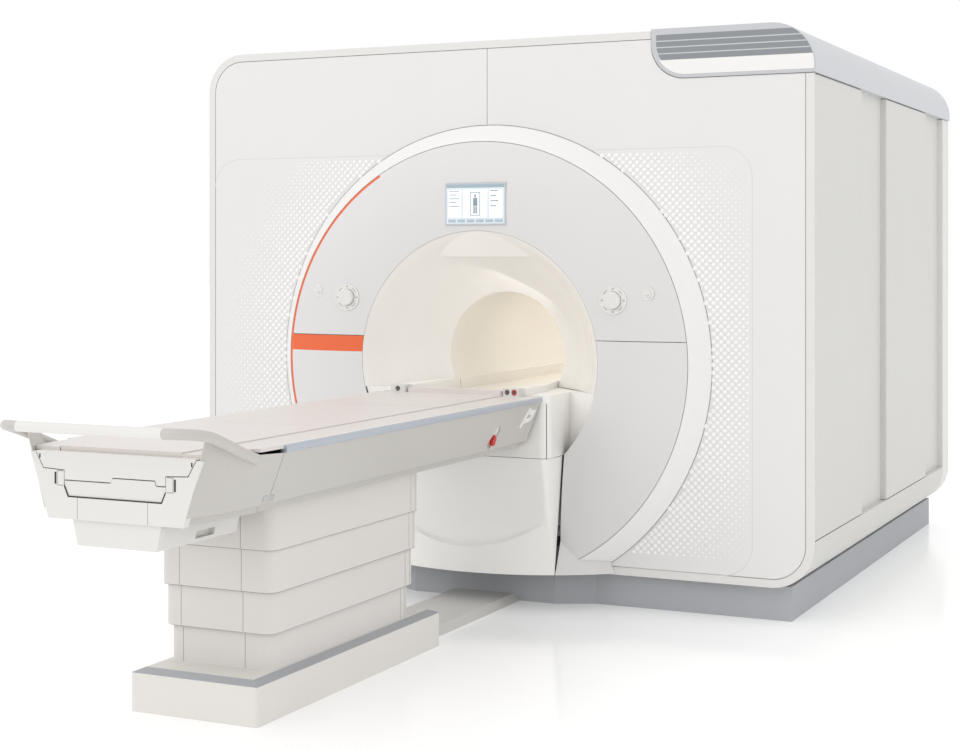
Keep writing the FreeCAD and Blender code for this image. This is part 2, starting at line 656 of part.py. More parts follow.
def make_saddles():
    saddles = []
    for y in (-SADDLE_Y, SADDLE_Y):
        plate = box(-SADDLE_X - 90, SADDLE_X + 90, y - 90, y + 90, PLINTH_HEIGHT, PLINTH_HEIGHT + 420)
        plate = plate.cut(disc(VESSEL_OUTER_R + SEAT_GAP, -BIG / 4, BIG / 4, BORE_Z))
        plate = plate.cut(box(-SADDLE_X + 120, SADDLE_X - 120, -BIG, BIG, 0, PLINTH_HEIGHT + 40))
        saddles.append(plate)
    return Part.makeCompound(saddles)


def make_bore_track():
    """The patient track: a floor between two low kerbs, seated on the liner's lower curve."""
    kerb_top = BORE_Z - BORE_R * 0.4
    track = box(-BORE_R, BORE_R, BORE_END_Y, -BORE_END_Y, TRACK_Z - 14, kerb_top)
    track = track.cut(box(-CHANNEL_HALF_WIDTH, CHANNEL_HALF_WIDTH, -BIG, BIG, TRACK_Z, BIG))
    return track.common(disc(BORE_R - SEAT_GAP, BORE_END_Y, -BORE_END_Y, BORE_Z))


# ---------------------------------------------------------------- ring controls
def make_control_plates():
    plates = []
    for side in (-1, 1):
        y = surface_y(CONTROL_X, CONTROL_Z)
        plate = disc(CONTROL_R, y - 3, y + 14, CONTROL_Z, side * CONTROL_X)
        plate = plate.cut(disc(KNOB_R + 1, y - 4, y + 4, CONTROL_Z, side * CONTROL_X))
        plate = plate.cut(disc(14.3, y + 3, y + 15, CONTROL_Z, side * CONTROL_X))
        yb = surface_y(BUTTON_X, BUTTON_Z)
        ring = disc(BUTTON_RING_R, yb - 3, yb + 14, BUTTON_Z, side * BUTTON_X)
        ring = ring.cut(disc(BUTTON_R + 0.4, yb - 4, yb + 8, BUTTON_Z, side * BUTTON_X))
        plates += [plate, ring]
    return Part.makeCompound(plates)


def make_knob(side):
    y = surface_y(CONTROL_X, CONTROL_Z)
    x = side * CONTROL_X
    cap = disc(KNOB_R, y - 24, y + 3.7, CONTROL_Z, x)
    front = [e for e in cap.Edges if e.Curve.TypeId == "Part::GeomCircle" and e.Curve.Center.y < y - 20]
    cap = cap.makeFillet(7.0, front)
    for i in range(24):
        a = math.radians(15 * i)
        cut = disc(2.2, y - 17, y + 1, CONTROL_Z + (KNOB_R + 0.6) * math.sin(a),
                   x + (KNOB_R + 0.6) * math.cos(a))
        cap = cap.cut(cut)
    shaft = disc(14.25, y + 3, y + 30, CONTROL_Z, x)
    return cap.fuse(shaft).removeSplitter()


def make_button(side):
    y = surface_y(BUTTON_X, BUTTON_Z)
    cap = disc(BUTTON_R, y - 8, y + 3.5, BUTTON_Z, side * BUTTON_X)
    front = [e for e in cap.Edges if e.Curve.TypeId == "Part::GeomCircle" and e.Curve.Center.y < y - 5]
    return cap.makeFillet(2.5, front)


def make_screen():
    y = surface_y(0, (SCREEN_Z0 + SCREEN_Z1) / 2)
    return box(-SCREEN_HALF_WIDTH, SCREEN_HALF_WIDTH, y - 2.5, y + 12, SCREEN_Z0, SCREEN_Z1)


# ---------------------------------------------------------------- table foot and column
def make_foot_box():
    h, half = FOOT_BOX_HEIGHT, FOOT_BOX_HALF_WIDTH
    y0, y1 = FOOT_BOX_FOOT_Y, FOOT_BOX_HEAD_Y
    shell = rounded_block(-half, half, y0, y1, 0, h - 6, 14, "z")
    shell = shell.cut(box(-half + 8, half - 8, y0 + 8, y1 - 8, 8, h - 12))
    inner = FOOT_STRIP_WIDTH + 2
    top = box(-half + inner, half - inner, y0 + inner, y1 - inner, h - 6, h + 10)
    shell = shell.fuse(top)
    stage = LIFT_STAGES[0]
    opening = box(-stage[0] - 4, stage[0] + 4, COLUMN_MID_Y - stage[1] - 4, COLUMN_MID_Y + stage[1] + 4,
                  8, BIG)
    return shell.cut(opening).removeSplitter()


def make_foot_strip():
    """The grey sloping kerb round the foot box's top."""
    h, half, w = FOOT_BOX_HEIGHT, FOOT_BOX_HALF_WIDTH, FOOT_STRIP_WIDTH
    y0, y1 = FOOT_BOX_FOOT_Y, FOOT_BOX_HEAD_Y

    def wire(inset, z):
        a, b, c, d = -half + inset, half - inset, y0 + inset, y1 - inset
        return Part.makePolygon([V(a, c, z), V(b, c, z), V(b, d, z), V(a, d, z), V(a, c, z)])
    kerb = Part.makeLoft([wire(2.0, h - 6), wire(w, h + FOOT_STRIP_RISE)], True, True)
    inner = w + 2
    return kerb.cut(box(-half + inner, half - inner, y0 + inner, y1 - inner, 0, BIG))


COLUMN_MID_Y = (COLUMN_FOOT_END_Y + COLUMN_HEAD_END_Y) / 2
COLUMN_HALF_LENGTH = (COLUMN_HEAD_END_Y - COLUMN_FOOT_END_Y) / 2
# half width, half length and wall of the lift's outer, middle and inner boxes
LIFT_STAGES = ((150.0, 420.0, 10.0), (138.0, 408.0, 10.0), (126.0, 396.0, 10.0))
HEAD_PLATE = 10.0
LIFT_BASE_Z = 12.0
LIFT_STAGE_HEIGHT = 360.0


def tier_tube(i, z0, z1):
    half = TIER_HALF_WIDTHS[i]
    inset = TIER_HALF_WIDTHS[-1] - half
    length = COLUMN_HALF_LENGTH - inset
    outer = rounded_block(-half, half, COLUMN_MID_Y - length, COLUMN_MID_Y + length, z0, z1,
                          TIER_CORNER_R, "z")
    w = TIER_WALL
    inner = rounded_block(-half + w, half - w, COLUMN_MID_Y - length + w, COLUMN_MID_Y + length - w,
                          z0 - 1, z1 + 1, TIER_CORNER_R - w, "z")
    return outer.cut(inner)


def glide_pads(i, z0):
    """Blocks inside a tier's lower edge that run on the next tier in."""
    pads = []
    x_in = TIER_HALF_WIDTHS[i - 1] + SEAT_GAP
    x_out = TIER_HALF_WIDTHS[i] - TIER_WALL / 2
    for sx in (-1, 1):
        x0, x1 = sorted((sx * x_in, sx * x_out))
        for sy in (-0.6, 0.6):
            y = COLUMN_MID_Y + sy * COLUMN_HALF_LENGTH
            pads.append(box(x0, x1, y - 25, y + 25, z0 + 3, z0 + 15))
    return pads


def make_tier(i):
    z0 = TIER_BOTTOMS[i] if i else FOOT_BOX_HEIGHT + 10.0
    if i < 3:
        z1 = TIER_BOTTOMS[i + 1] + TIER_OVERLAP
    else:
        z1 = PAN_Z
    tier = tier_tube(i, z0, z1)
    if i:
        tier = tier.fuse(glide_pads(i, z0)).removeSplitter()
    return tier


def make_lift_stage(i):
    half, length, wall = LIFT_STAGES[i]
    rise = LIFT_TRAVEL * i / 2
    z0 = LIFT_BASE_Z + 2.0 * i + rise
    z1 = z0 + LIFT_STAGE_HEIGHT
    if i == 0:
        z0 = 8.0
    stage = box(-half, half, COLUMN_MID_Y - length, COLUMN_MID_Y + length, z0, z1)
    inner = box(-half + wall, half - wall, COLUMN_MID_Y - length + wall, COLUMN_MID_Y + length - wall,
                z0 - 1, z1 + 1)
    stage = stage.cut(inner)
    # low-friction pads fill the running gap to the next box in
    if i < 2:
        for sx in (-1, 1):
            for sy in (-0.7, 0.7):
                x_in = LIFT_STAGES[i + 1][0] + 0.4
                x_out = half - wall + 1
                x0, x1 = sorted((sx * x_in, sx * x_out))
                y = COLUMN_MID_Y + sy * length
                stage = stage.fuse(box(x0, x1, y - 30, y + 30, z1 - 60, z1 - 10))
    else:
        # the head plate that carries the table frame between its walls
        reach = FRAME_HALF_WIDTH - FRAME_WALL
        plate = box(-reach, reach, COLUMN_MID_Y - length, COLUMN_MID_Y + length, z1, z1 + HEAD_PLATE)
        stage = stage.fuse(plate)
    return stage.removeSplitter()


def make_duct():
    y0, y1 = FOOT_BOX_HEAD_Y, NOSE_Y
    outline = [(-185, 0), (185, 0), (150, 30), (-150, 30)]
    return along_y(outline, y0, y1)


# ---------------------------------------------------------------- table
PAN_Z = 742.0
DECK_Z0 = TABLE_TOP_Z - 12.0
RAIL_Z0 = TABLE_TOP_Z - 26.0
RAIL_PROUD = 8.0
FRAME_HALF_WIDTH = BOARD_HALF_WIDTH + 11.0
FRAME_WALL = 6.0
UNDER_HALF_WIDTH = 173.0
FOOT_SEAM_Y = TABLE_FOOT_Y + 387.0
DRIVE_Y = TABLE_HEAD_Y - 420.0


def side_section(half, top_z, foot=0.0):
    """The slanting side cover's section, from the rail down to the inward lip."""
    w = COVER_WALL
    low = half - 67.0 - foot * 7.0
    lip = half - 104.0 - foot * 20.0
    return [
        (half, top_z), (low, 770.0), (lip, 757.0), (lip - 6, 737.0), (lip - 34, 737.0),
        (lip - 34, PAN_Z), (lip - 11, PAN_Z), (lip - 5, 761.5), (low - 4, 774.5), (half - w, top_z),
    ]


def section_wire(points, y):
    return Part.makePolygon([V(x, y, z) for x, z in points + [points[0]]])


LEVER_Y, LEVER_Z = -2236.0, 812.0
LEVER_X = 352.0


def lever_pocket():
    """The slanting recess for the release lever, in the right-hand cover."""
    pocket = rounded_block(LEVER_X - 20, LEVER_X + 40, -22, 22, -55, 55, 21.5, "x")
    pocket.rotate(V(0, 0, 0), V(1, 0, 0), -35)
    pocket.translate(V(0, LEVER_Y, LEVER_Z + 8))
    return pocket


def make_side_cover():
    cover = along_y(side_section(TABLE_HALF_WIDTH, RAIL_Z0), FOOT_SEAM_Y + SEAM, TABLE_HEAD_Y)
    return cover.cut(lever_pocket())


def make_lever():
    """The red pull lever: a thumb paddle on a cross pin, lying in its recess."""
    paddle = rounded_block(LEVER_X - 10, LEVER_X + 6, -13, 13, -26, 22, 12, "x")
    paddle.rotate(V(0, 0, 0), V(1, 0, 0), -35)
    paddle.translate(V(0, LEVER_Y, LEVER_Z))
    pin_x = FRAME_HALF_WIDTH + SEAT_GAP
    pin = Part.makeCylinder(5, LEVER_X - 9 - pin_x, V(pin_x, LEVER_Y, LEVER_Z), V(1, 0, 0))
    return paddle.fuse(pin).removeSplitter()


# place along Y, half width at the rail and height of the top edge of the foot cover's sections
FOOT_STATIONS = (
    (0.0, 400.0, 942.0, 0.0), (150.0, 396.0, 950.0, 0.25), (270.0, 384.0, 985.0, 0.6),
    (360.0, 366.0, 1020.0, 0.9), (387.0, 356.0, 1026.0, 1.0),
)
HANDLE_R = 18.0
HANDLE_Y = TABLE_FOOT_Y - 128.0
HANDLE_Z = 1048.0
HANDLE_HALF = 286.0


def make_foot_cover():
    wires = [section_wire(side_section(half, top, t), FOOT_SEAM_Y - d)
             for d, half, top, t in FOOT_STATIONS]
    cover = Part.makeLoft(wires, True, True)
    room = [(x + math.copysign(SEAT_GAP, x), z) for x, z in CAP_OUTLINE]
    cover = cover.cut(along_y(room, TABLE_FOOT_Y - 2, TABLE_FOOT_Y + END_CAP_DEPTH + 7))
    # the horn: a tube that leaves the cover's top edge and turns in to the bar
    path = Part.BSplineCurve()
    y0 = FOOT_SEAM_Y
    path.interpolate([
        V(388, y0 - 150, 936), V(390, y0 - 260, 974), V(392, y0 - 380, 1020),
        V(384, y0 - 450, 1040), V(345, HANDLE_Y + 18, 1047), V(HANDLE_HALF, HANDLE_Y, HANDLE_Z),
    ], InitialTangent=V(0, -110, 30), FinalTangent=V(-60, 0, 0))
    start = path.value(path.FirstParameter)
    tangent = path.tangent(path.FirstParameter)[0]
    ring = Part.Wire(Part.makeCircle(HANDLE_R, start, tangent))
    horn = Part.Wire(path.toShape()).makePipeShell([ring], True, True)
    return cover.fuse(horn)


def make_handle_bar():
    span = HANDLE_HALF - 1.0
    bar = Part.makeCylinder(HANDLE_R, 2 * span, V(-span, HANDLE_Y, HANDLE_Z), V(1, 0, 0))
    pin = Part.makeCylinder(8, 2 * span + 1.6, V(-span - 0.8, HANDLE_Y, HANDLE_Z), V(1, 0, 0))
    return bar.fuse(pin).removeSplitter()


def make_table_frame():
    half, w = FRAME_HALF_WIDTH, FRAME_WALL
    y0, y1 = TABLE_FOOT_Y + 40, TABLE_HEAD_Y - 6
    pan = box(-half - 25, half + 25, y0, y1, PAN_Z, PAN_Z + 8)
    frame = pan
    for side in (-1, 1):
        x0, x1 = sorted((side * (half - w), side * half))
        frame = frame.fuse(box(x0, x1, y0, y1, PAN_Z, DECK_Z0))
        x0, x1 = sorted((side * (half - 30), side * half))
        frame = frame.fuse(box(x0, x1, y0, y1, BOARD_BOTTOM_Z - 14, BOARD_BOTTOM_Z - 0.5))
    stage = LIFT_STAGES[0]
    for i in range(9):
        y = y0 + 60 + i * (y1 - y0 - 120) / 8
        if abs(y - COLUMN_MID_Y) > stage[1] + 20 and abs(y - DRIVE_Y) > 80:
            frame = frame.fuse(box(-half, half, y - 5, y + 5, PAN_Z, PAN_Z + 60))
    frame = frame.cut(box(-stage[0] - 4, stage[0] + 4, COLUMN_MID_Y - stage[1] - 4,
                          COLUMN_MID_Y + stage[1] + 4, 0, PAN_Z + 9))
    # the foot end is narrower, between the tapering covers
    waist = box(UNDER_HALF_WIDTH + 12, BIG, -BIG, FOOT_SEAM_Y + 5, 0, 773)
    return frame.cut(waist).cut(mirrored(waist)).removeSplitter()


def make_deck():
    half = TABLE_HALF_WIDTH - 4
    strip = box(CHANNEL_HALF_WIDTH, half, FOOT_SEAM_Y, TABLE_HEAD_Y, DECK_Z0, TABLE_TOP_Z)
    foot = along_z([(CHANNEL_HALF_WIDTH, FOOT_SEAM_Y), (CHANNEL_HALF_WIDTH, TABLE_FOOT_Y + 30),
                    (339, TABLE_FOOT_Y + 30), (364, FOOT_SEAM_Y - 270), (368, FOOT_SEAM_Y - 140),
                    (half - 5, FOOT_SEAM_Y - 132), (half, FOOT_SEAM_Y)], DECK_Z0, TABLE_TOP_Z)
    strip = strip.fuse(foot).removeSplitter()
    return Part.makeCompound([strip, mirrored(strip)])


def make_edge_rails():
    half = TABLE_HALF_WIDTH
    section = [
        (half - 4, TABLE_TOP_Z), (half + RAIL_PROUD - 4, TABLE_TOP_Z - 2), (half + RAIL_PROUD, TABLE_TOP_Z - 7),
        (half + RAIL_PROUD, RAIL_Z0 + 5), (half + RAIL_PROUD - 4, RAIL_Z0), (half - 16, RAIL_Z0),
        (half - 16, DECK_Z0), (half - 4, DECK_Z0),
    ]
    rail = along_y(section, FOOT_SEAM_Y + 4, TABLE_HEAD_Y + 8)
    return Part.makeCompound([rail, mirrored(rail)])


END_CAP_SPLIT_Z = 879.0
END_CAP_DEPTH = 30.0
CAP_BOTTOM_Z = 737.0
CAP_OUTLINE = [(-340, 952), (-266, CAP_BOTTOM_Z), (266, CAP_BOTTOM_Z), (340, 952)]


def make_end_caps():
    """The foot end's two-part closing plate, with its notched split line."""
    y0, y1 = TABLE_FOOT_Y, TABLE_FOOT_Y + END_CAP_DEPTH
    upper = along_y([(-316, 956), (-284, 902), (-199, 898), (-199, 866), (-12, 866), (-8, 882),
                     (160, 882), (166, 866), (199, 866), (199, 898), (284, 902), (316, 956)], y0, y1)
    lower = along_y(CAP_OUTLINE + [(318, 952), (287, 899), (202, 895), (202, 846), (186, 810),
                                   (-186, 810), (-202, 846), (-202, 895), (-287, 899), (-318, 952)], y0, y1)
    insert = along_y([(-199, 862), (-16, 862), (-12, 878), (156, 878), (162, 862), (199, 862),
                      (199, 846), (183, 813), (-183, 813), (-199, 846)], y0 + 2, y1)
    tie = box(-190, 190, y1 - 6, y1 + 6, 800, 900)
    return upper, lower.fuse(tie.cut(insert).cut(upper)), insert


def make_under_box():
    y0, y1 = TABLE_FOOT_Y + 12, TABLE_FOOT_Y + 470
    half = UNDER_HALF_WIDTH
    outline = [(-half + 17, 652), (half - 17, 652), (half, 725), (half, PAN_Z), (-half, PAN_Z), (-half, 725)]
    body = along_y(outline, y0, y1)
    grip = box(140, 200, TABLE_FOOT_Y + 222, TABLE_FOOT_Y + 332, 664, 690)
    body = body.cut(grip).cut(mirrored(grip))
    cap_rear = TABLE_FOOT_Y + END_CAP_DEPTH + 7
    return body.cut(box(-BIG, BIG, -BIG, cap_rear, CAP_BOTTOM_Z - SEAT_GAP, BIG))


def make_socket_blocks():
    x0, x1 = CHANNEL_HALF_WIDTH + 1, 322.0
    y0, y1 = TABLE_HEAD_Y - 58, TABLE_HEAD_Y - 4
    right = rounded_block(x0, x1, y0, y1, TABLE_TOP_Z, TABLE_TOP_Z + 36, 8, "z")
    z = TABLE_TOP_Z + 19
    for x in (x0 + 22, x0 + 56):
        right = right.cut(disc(9, y0 - 1, y0 + 26, z, x))
    left = rounded_block(-x1, -x0, y0, y1, TABLE_TOP_Z, TABLE_TOP_Z + 36, 8, "z")
    left = left.cut(disc(9, y0 - 1, y0 + 26, z, -x0 - 38))
    return Part.makeCompound([right, left])


def make_board():
    half = BOARD_HALF_WIDTH
    y0, y1 = TABLE_FOOT_Y + 33, TABLE_HEAD_Y
    board = box(-half, half, y0, y1, BOARD_BOTTOM_Z, BOARD_TOP_Z)
    bar = rounded_block(-half + 6, half - 6, y1 - 54, y1 - 8, BOARD_TOP_Z - 1, BOARD_TOP_Z + 20, 10, "z")
    return board.fuse(bar).removeSplitter()


def make_drive():
    """The tabletop drive: a geared motor on the pan with its belt pulley."""
    y = DRIVE_Y
    motor = Part.makeCylinder(48, 150, V(-60, y, PAN_Z + 8 + 48), V(1, 0, 0))
    foot = box(-50, 80, y - 40, y + 40, PAN_Z + 8, PAN_Z + 40)
    pulley = Part.makeCylinder(30, 22, V(90, y, PAN_Z + 56), V(1, 0, 0))
    return motor.fuse(foot).fuse(pulley).removeSplitter()


# ---------------------------------------------------------------- write every node
def make_all():
    upper_bezel, lower_left, lower_right, accents = make_bezel()
    cover = make_front_cover()
    half_seam = SEAM / 2
    cap_upper, cap_lower, cap_insert = make_end_caps()
    skirt, doors = make_skirt(), make_doors()
    side, foot, lever = make_side_cover(), make_foot_cover(), make_lever()
    return {
        "plinth_frame": make_plinth(),
        "casing_shell": make_casing_shell(),
        "front_rim": make_front_rim(),
        "front_cover_left": cover.common(box(-BIG, -half_seam, -BIG, BIG, -BIG, BIG)),
        "front_cover_right": cover.common(box(half_seam, BIG, -BIG, BIG, -BIG, BIG)),
        "bevel_ring": make_bevel_ring(),
        "bezel_upper": upper_bezel,
        "bezel_lower_left": lower_left,
        "bezel_lower_right": lower_right,
        "accent_film": accents,
        "entry_funnel": make_funnel(),
        "pedestal_upper_cover": make_pedestal_upper(),
        "pedestal_lower_cover": make_pedestal_lower(),
        "display_screen": make_screen(),
        "control_plates": make_control_plates(),
        "vent_frame": make_vent_frame(),
        "vent_louvres": make_louvres(),
        "grey_top_cover": make_grey_top_cover(),
        "roof_cover": make_roof_cover(),
        "lower_skirts": Part.makeCompound([mirrored(skirt), skirt]),
        "side_doors_left": mirrored(doors),
        "side_doors_right": doors,
        "rear_rim": make_rear_rim(),
        "rear_cover": make_rear_cover(),
        "bore_liner": make_liner(),
        "gradient_coil": make_gradient_coil(),
        "cryostat": make_cryostat(),
        "cold_head": make_cold_head(),
        "magnet_saddles": make_saddles(),
        "bore_track": make_bore_track(),
        "cable_duct": make_duct(),
        "foot_box": make_foot_box(),
        "foot_strip": make_foot_strip(),
        "column_cover_fixed": make_tier(0),
        "lift_outer_stage": make_lift_stage(0),
        "knob_left": make_knob(-1),
        "knob_right": make_knob(1),
        "stop_button_left": make_button(-1),
        "stop_button_right": make_button(1),
        "column_cover_lower": make_tier(1),
        "column_cover_middle": make_tier(2),
        "lift_middle_stage": make_lift_stage(1),
        "column_cover_upper": make_tier(3),
        "lift_inner_stage": make_lift_stage(2),
        "table_frame": make_table_frame(),
        "side_cover_left": mirrored(side),
        "side_cover_right": side,
        "foot_cover_left": mirrored(foot),
        "foot_cover_right": foot,
        "handle_bar": make_handle_bar(),
        "edge_rails": make_edge_rails(),
        "table_deck": make_deck(),
        "end_cap_upper": cap_upper.fuse(cap_insert),
        "end_cap_lower": cap_lower,
        "under_box": make_under_box(),
        "socket_blocks": make_socket_blocks(),
        "slide_drive": make_drive(),
        "release_lever_left": mirrored(lever),
        "release_lever_right": lever,
        "tabletop_board": make_board(),
    }


def main():
    os.makedirs("parts", exist_ok=True)
    for name, shape in make_all().items():
        shape.exportStep("parts/" + name + ".step")
        print(name, len(shape.Solids), "solid(s)", round(shape.Volume / 1e6, 3), "litres", shape.isValid())


main()
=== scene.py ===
# %% [markdown]
# # A closed-bore MRI scanner with its patient table
#
# The construction comes from CAD, so this script only gives it its looks: finishes,
# thin details and light. The first cell loads the construction.

# %% Load the construction
import math

import bpy
from mathutils import Matrix, Vector


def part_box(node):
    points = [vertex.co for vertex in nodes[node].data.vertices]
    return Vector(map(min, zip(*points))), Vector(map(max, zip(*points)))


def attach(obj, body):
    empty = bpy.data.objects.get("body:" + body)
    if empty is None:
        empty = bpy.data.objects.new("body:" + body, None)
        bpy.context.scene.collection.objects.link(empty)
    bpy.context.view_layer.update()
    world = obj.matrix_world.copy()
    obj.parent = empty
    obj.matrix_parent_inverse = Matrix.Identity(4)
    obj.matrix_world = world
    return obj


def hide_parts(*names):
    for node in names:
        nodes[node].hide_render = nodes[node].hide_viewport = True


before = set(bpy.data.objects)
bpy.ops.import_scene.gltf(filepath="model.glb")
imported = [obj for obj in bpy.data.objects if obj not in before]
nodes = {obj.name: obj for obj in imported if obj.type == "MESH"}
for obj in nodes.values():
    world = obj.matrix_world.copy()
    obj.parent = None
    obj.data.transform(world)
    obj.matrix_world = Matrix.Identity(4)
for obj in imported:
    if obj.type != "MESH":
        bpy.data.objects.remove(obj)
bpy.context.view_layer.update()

# %% [markdown]
# ## Driving sizes
#
# The ring round the bore and the table are where most details sit.
# Their sizes are read from the construction where a piece's box gives them, so that a
# detail follows its carrier. Lengths are metres.

# %% Driving sizes
MM = 0.001
FRONT_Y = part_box("front_rim")[0].y
RING_Z = 1106 * MM
RING_R = 1095 * MM
BORE_Z = 1120 * MM
TABLE_HEAD_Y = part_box("tabletop_board")[1].y
TABLE_FOOT_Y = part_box("end_cap_lower")[0].y
TABLE_TOP_Z = 968 * MM
print("front face at", round(FRONT_Y, 3), "table from", round(TABLE_FOOT_Y, 3), "to", round(TABLE_HEAD_Y, 3))

# %% [markdown]
# ## The camera
#
# A long lens from about nine metres away keeps the enclosure's upright edges nearly
# parallel, as a product catalogue shows it. The camera stays level and the frame is shifted
# down instead of tilting it, which keeps verticals vertical.

# %% Camera
camera_data = bpy.data.cameras.new("catalogue_camera")
camera = bpy.data.objects.new("catalogue_camera", camera_data)
bpy.context.scene.collection.objects.link(camera)
camera.location = (3.4624, -8.9264, 1.6067)
camera.rotation_euler = (math.radians(90), 0, math.radians(25.377))
camera_data.sensor_width = 36
camera_data.lens = 65.30
camera_data.shift_y = -0.1266
camera_data.clip_end = 200
bpy.context.scene.camera = camera

# %% [markdown]
# ## Colour and node helpers
#
# Blender computes light with linear numbers, while a hex colour is written for a
# screen, so one function converts. A second one adds a shader node, sets it up and
# wires it in a single call: a plain value fills a socket and a socket is linked to it.

# %% Helpers for materials
def linear(hex_colour):
    """The linear RGBA of an sRGB hex colour."""
    channels = [int(hex_colour[i:i + 2], 16) / 255 for i in (1, 3, 5)]
    low = [c / 12.92 if c <= 0.04045 else ((c + 0.055) / 1.055) ** 2.4 for c in channels]
    return (*low, 1.0)


def add_node(tree, kind, settings=None, **inputs):
    """A new node with its settings, its inputs filled with values or linked to sockets."""
    node = tree.nodes.new(kind)
    for name, value in (settings or {}).items():
        setattr(node, name, value)
    for name, value in inputs.items():
        socket = node.inputs[int(name[1:])] if name[1:].isdigit() else node.inputs[name.replace("_", " ")]
        if isinstance(value, bpy.types.NodeSocket):
            tree.links.new(value, socket)
        else:
            socket.default_value = value
    return node


def new_material(name):
    """An empty node material with its Principled shader and its object coordinates."""
    material = bpy.data.materials.new(name)
    material.use_nodes = True
    tree = material.node_tree
    shader = tree.nodes["Principled BSDF"]
    place = add_node(tree, "ShaderNodeTexCoord").outputs["Object"]
    return material, tree, shader, place


def dress(node_name, material):
    """Gives a construction node its finish."""
    mesh = nodes[node_name].data
    mesh.materials.clear()
    mesh.materials.append(material)


# %% [markdown]
# ## Moulded and lacquered panels
#
# Nearly all that shows is glass-fibre or ABS panelling with a sprayed white finish.
# Such a surface is never one even colour: the spray varies a little from hand to hand
# over a foot or so, and it has a faint orange peel that breaks up its highlights. One
# function builds that finish, and each panel family sets its colour, gloss and peel.

# %% A sprayed or moulded panel finish
def panel_finish(name, colour, roughness=0.35, coat=0.0, peel_mm=9.0, peel=0.02, mottle=0.014, metallic=0.0):
    """Colour mottled over 300 mm, gloss uneven over 120 mm, and a fine peel in the surface."""
    material, tree, shader, place = new_material(name)
    base = linear(colour)
    drift = add_node(tree, "ShaderNodeTexNoise", Vector=place, Scale=1 / 0.30, Detail=3.0, Roughness=0.5)
    darker = tuple(c * (1 - mottle) for c in base[:3]) + (1.0,)
    lighter = tuple(min(1.0, c * (1 + mottle * 0.6)) for c in base[:3]) + (1.0,)
    tone = add_node(tree, "ShaderNodeMix", {"data_type": "RGBA"}, _0=drift.outputs["Fac"],
                    _6=darker, _7=lighter)
    tree.links.new(tone.outputs[2], shader.inputs["Base Color"])
    wipe = add_node(tree, "ShaderNodeTexNoise", Vector=place, Scale=1 / 0.12, Detail=4.0)
    gloss = add_node(tree, "ShaderNodeMapRange", Value=wipe.outputs["Fac"],
                     To_Min=roughness * 0.95, To_Max=roughness * 1.05)
    tree.links.new(gloss.outputs["Result"], shader.inputs["Roughness"])
    grain = add_node(tree, "ShaderNodeTexNoise", Vector=place, Scale=1000 / peel_mm, Detail=2.0)
    bump = add_node(tree, "ShaderNodeBump", Height=grain.outputs["Fac"], Strength=peel, Distance=0.001)
    tree.links.new(bump.outputs["Normal"], shader.inputs["Normal"])
    shader.inputs["Metallic"].default_value = metallic
    shader.inputs["Coat Weight"].default_value = coat
    shader.inputs["Coat Roughness"].default_value = 0.12
    return material


# %% [markdown]
# The enclosure's wide front covers are satin; the ring round the bore is glossier, as
# people look at it from close by; the side doors are a warmer grey. The plinth and the
# kerb on the table's foot are mid grey powder coat, which is rougher.

# %% Finishes of the enclosure
front_lacquer = panel_finish("satin_lacquered_grp_front", "#e4e3e2", 0.42)
rim_lacquer = panel_finish("satin_lacquered_grp_rim", "#e0dfdc", 0.38)
ring_lacquer = panel_finish("gloss_lacquered_grp_ring", "#efeeec", 0.28, coat=0.3)
bezel_lacquer = panel_finish("gloss_lacquered_abs_bezel", "#dcdbda", 0.30, coat=0.12, peel=0.0)
funnel_lacquer = panel_finish("gloss_lacquered_grp_funnel", "#f4f1ec", 0.25, coat=0.25)
door_lacquer = panel_finish("satin_sprayed_aluminium_doors", "#d5d4d0", 0.45)
rear_lacquer = panel_finish("satin_lacquered_grp_rear", "#dedcd8", 0.45)
top_lacquer = panel_finish("satin_sprayed_aluminium_top", "#c9cbcf", 0.36)
vent_lacquer = panel_finish("moulded_abs_vent_frame", "#c4c5c8", 0.40)
louvre_anodised = panel_finish("anodised_aluminium_louvres", "#8d9195", 0.38, metallic=0.25)
plinth_powder = panel_finish("powder_coated_steel_plinth", "#adafb3", 0.55, peel_mm=5, peel=0.05)
casing_lacquer = panel_finish("satin_sprayed_aluminium_casing", "#d6d5d1", 0.46)
liner_enamel = panel_finish("moulded_grp_bore_liner", "#f8f5ef", 0.32, coat=0.15)
pedestal_lacquer = panel_finish("satin_lacquered_grp_pedestal", "#f5f3ef", 0.34, coat=0.15)

for node_name, finish in {
    "front_cover_left": front_lacquer, "front_cover_right": front_lacquer, "front_rim": rim_lacquer,
    "rear_rim": rim_lacquer, "bevel_ring": ring_lacquer, "bezel_upper": bezel_lacquer,
    "bezel_lower_left": bezel_lacquer, "bezel_lower_right": bezel_lacquer, "entry_funnel": funnel_lacquer,
    "pedestal_upper_cover": pedestal_lacquer, "pedestal_lower_cover": pedestal_lacquer,
    "vent_frame": vent_lacquer, "vent_louvres": louvre_anodised, "grey_top_cover": top_lacquer,
    "roof_cover": top_lacquer, "lower_skirts": door_lacquer, "side_doors_left": door_lacquer,
    "side_doors_right": door_lacquer, "rear_cover": rear_lacquer, "plinth_frame": plinth_powder,
    "casing_shell": casing_lacquer, "bore_liner": liner_enamel, "bore_track": liner_enamel,
}.items():
    dress(node_name, finish)

# %% [markdown]
# The table's covers are moulded polyurethane with a satin lacquer, a shade warmer than
# the enclosure. Its deck and the moving board are laminate, and two bare aluminium
# rails edge the top. The lift column's sleeves are thin sprayed steel.

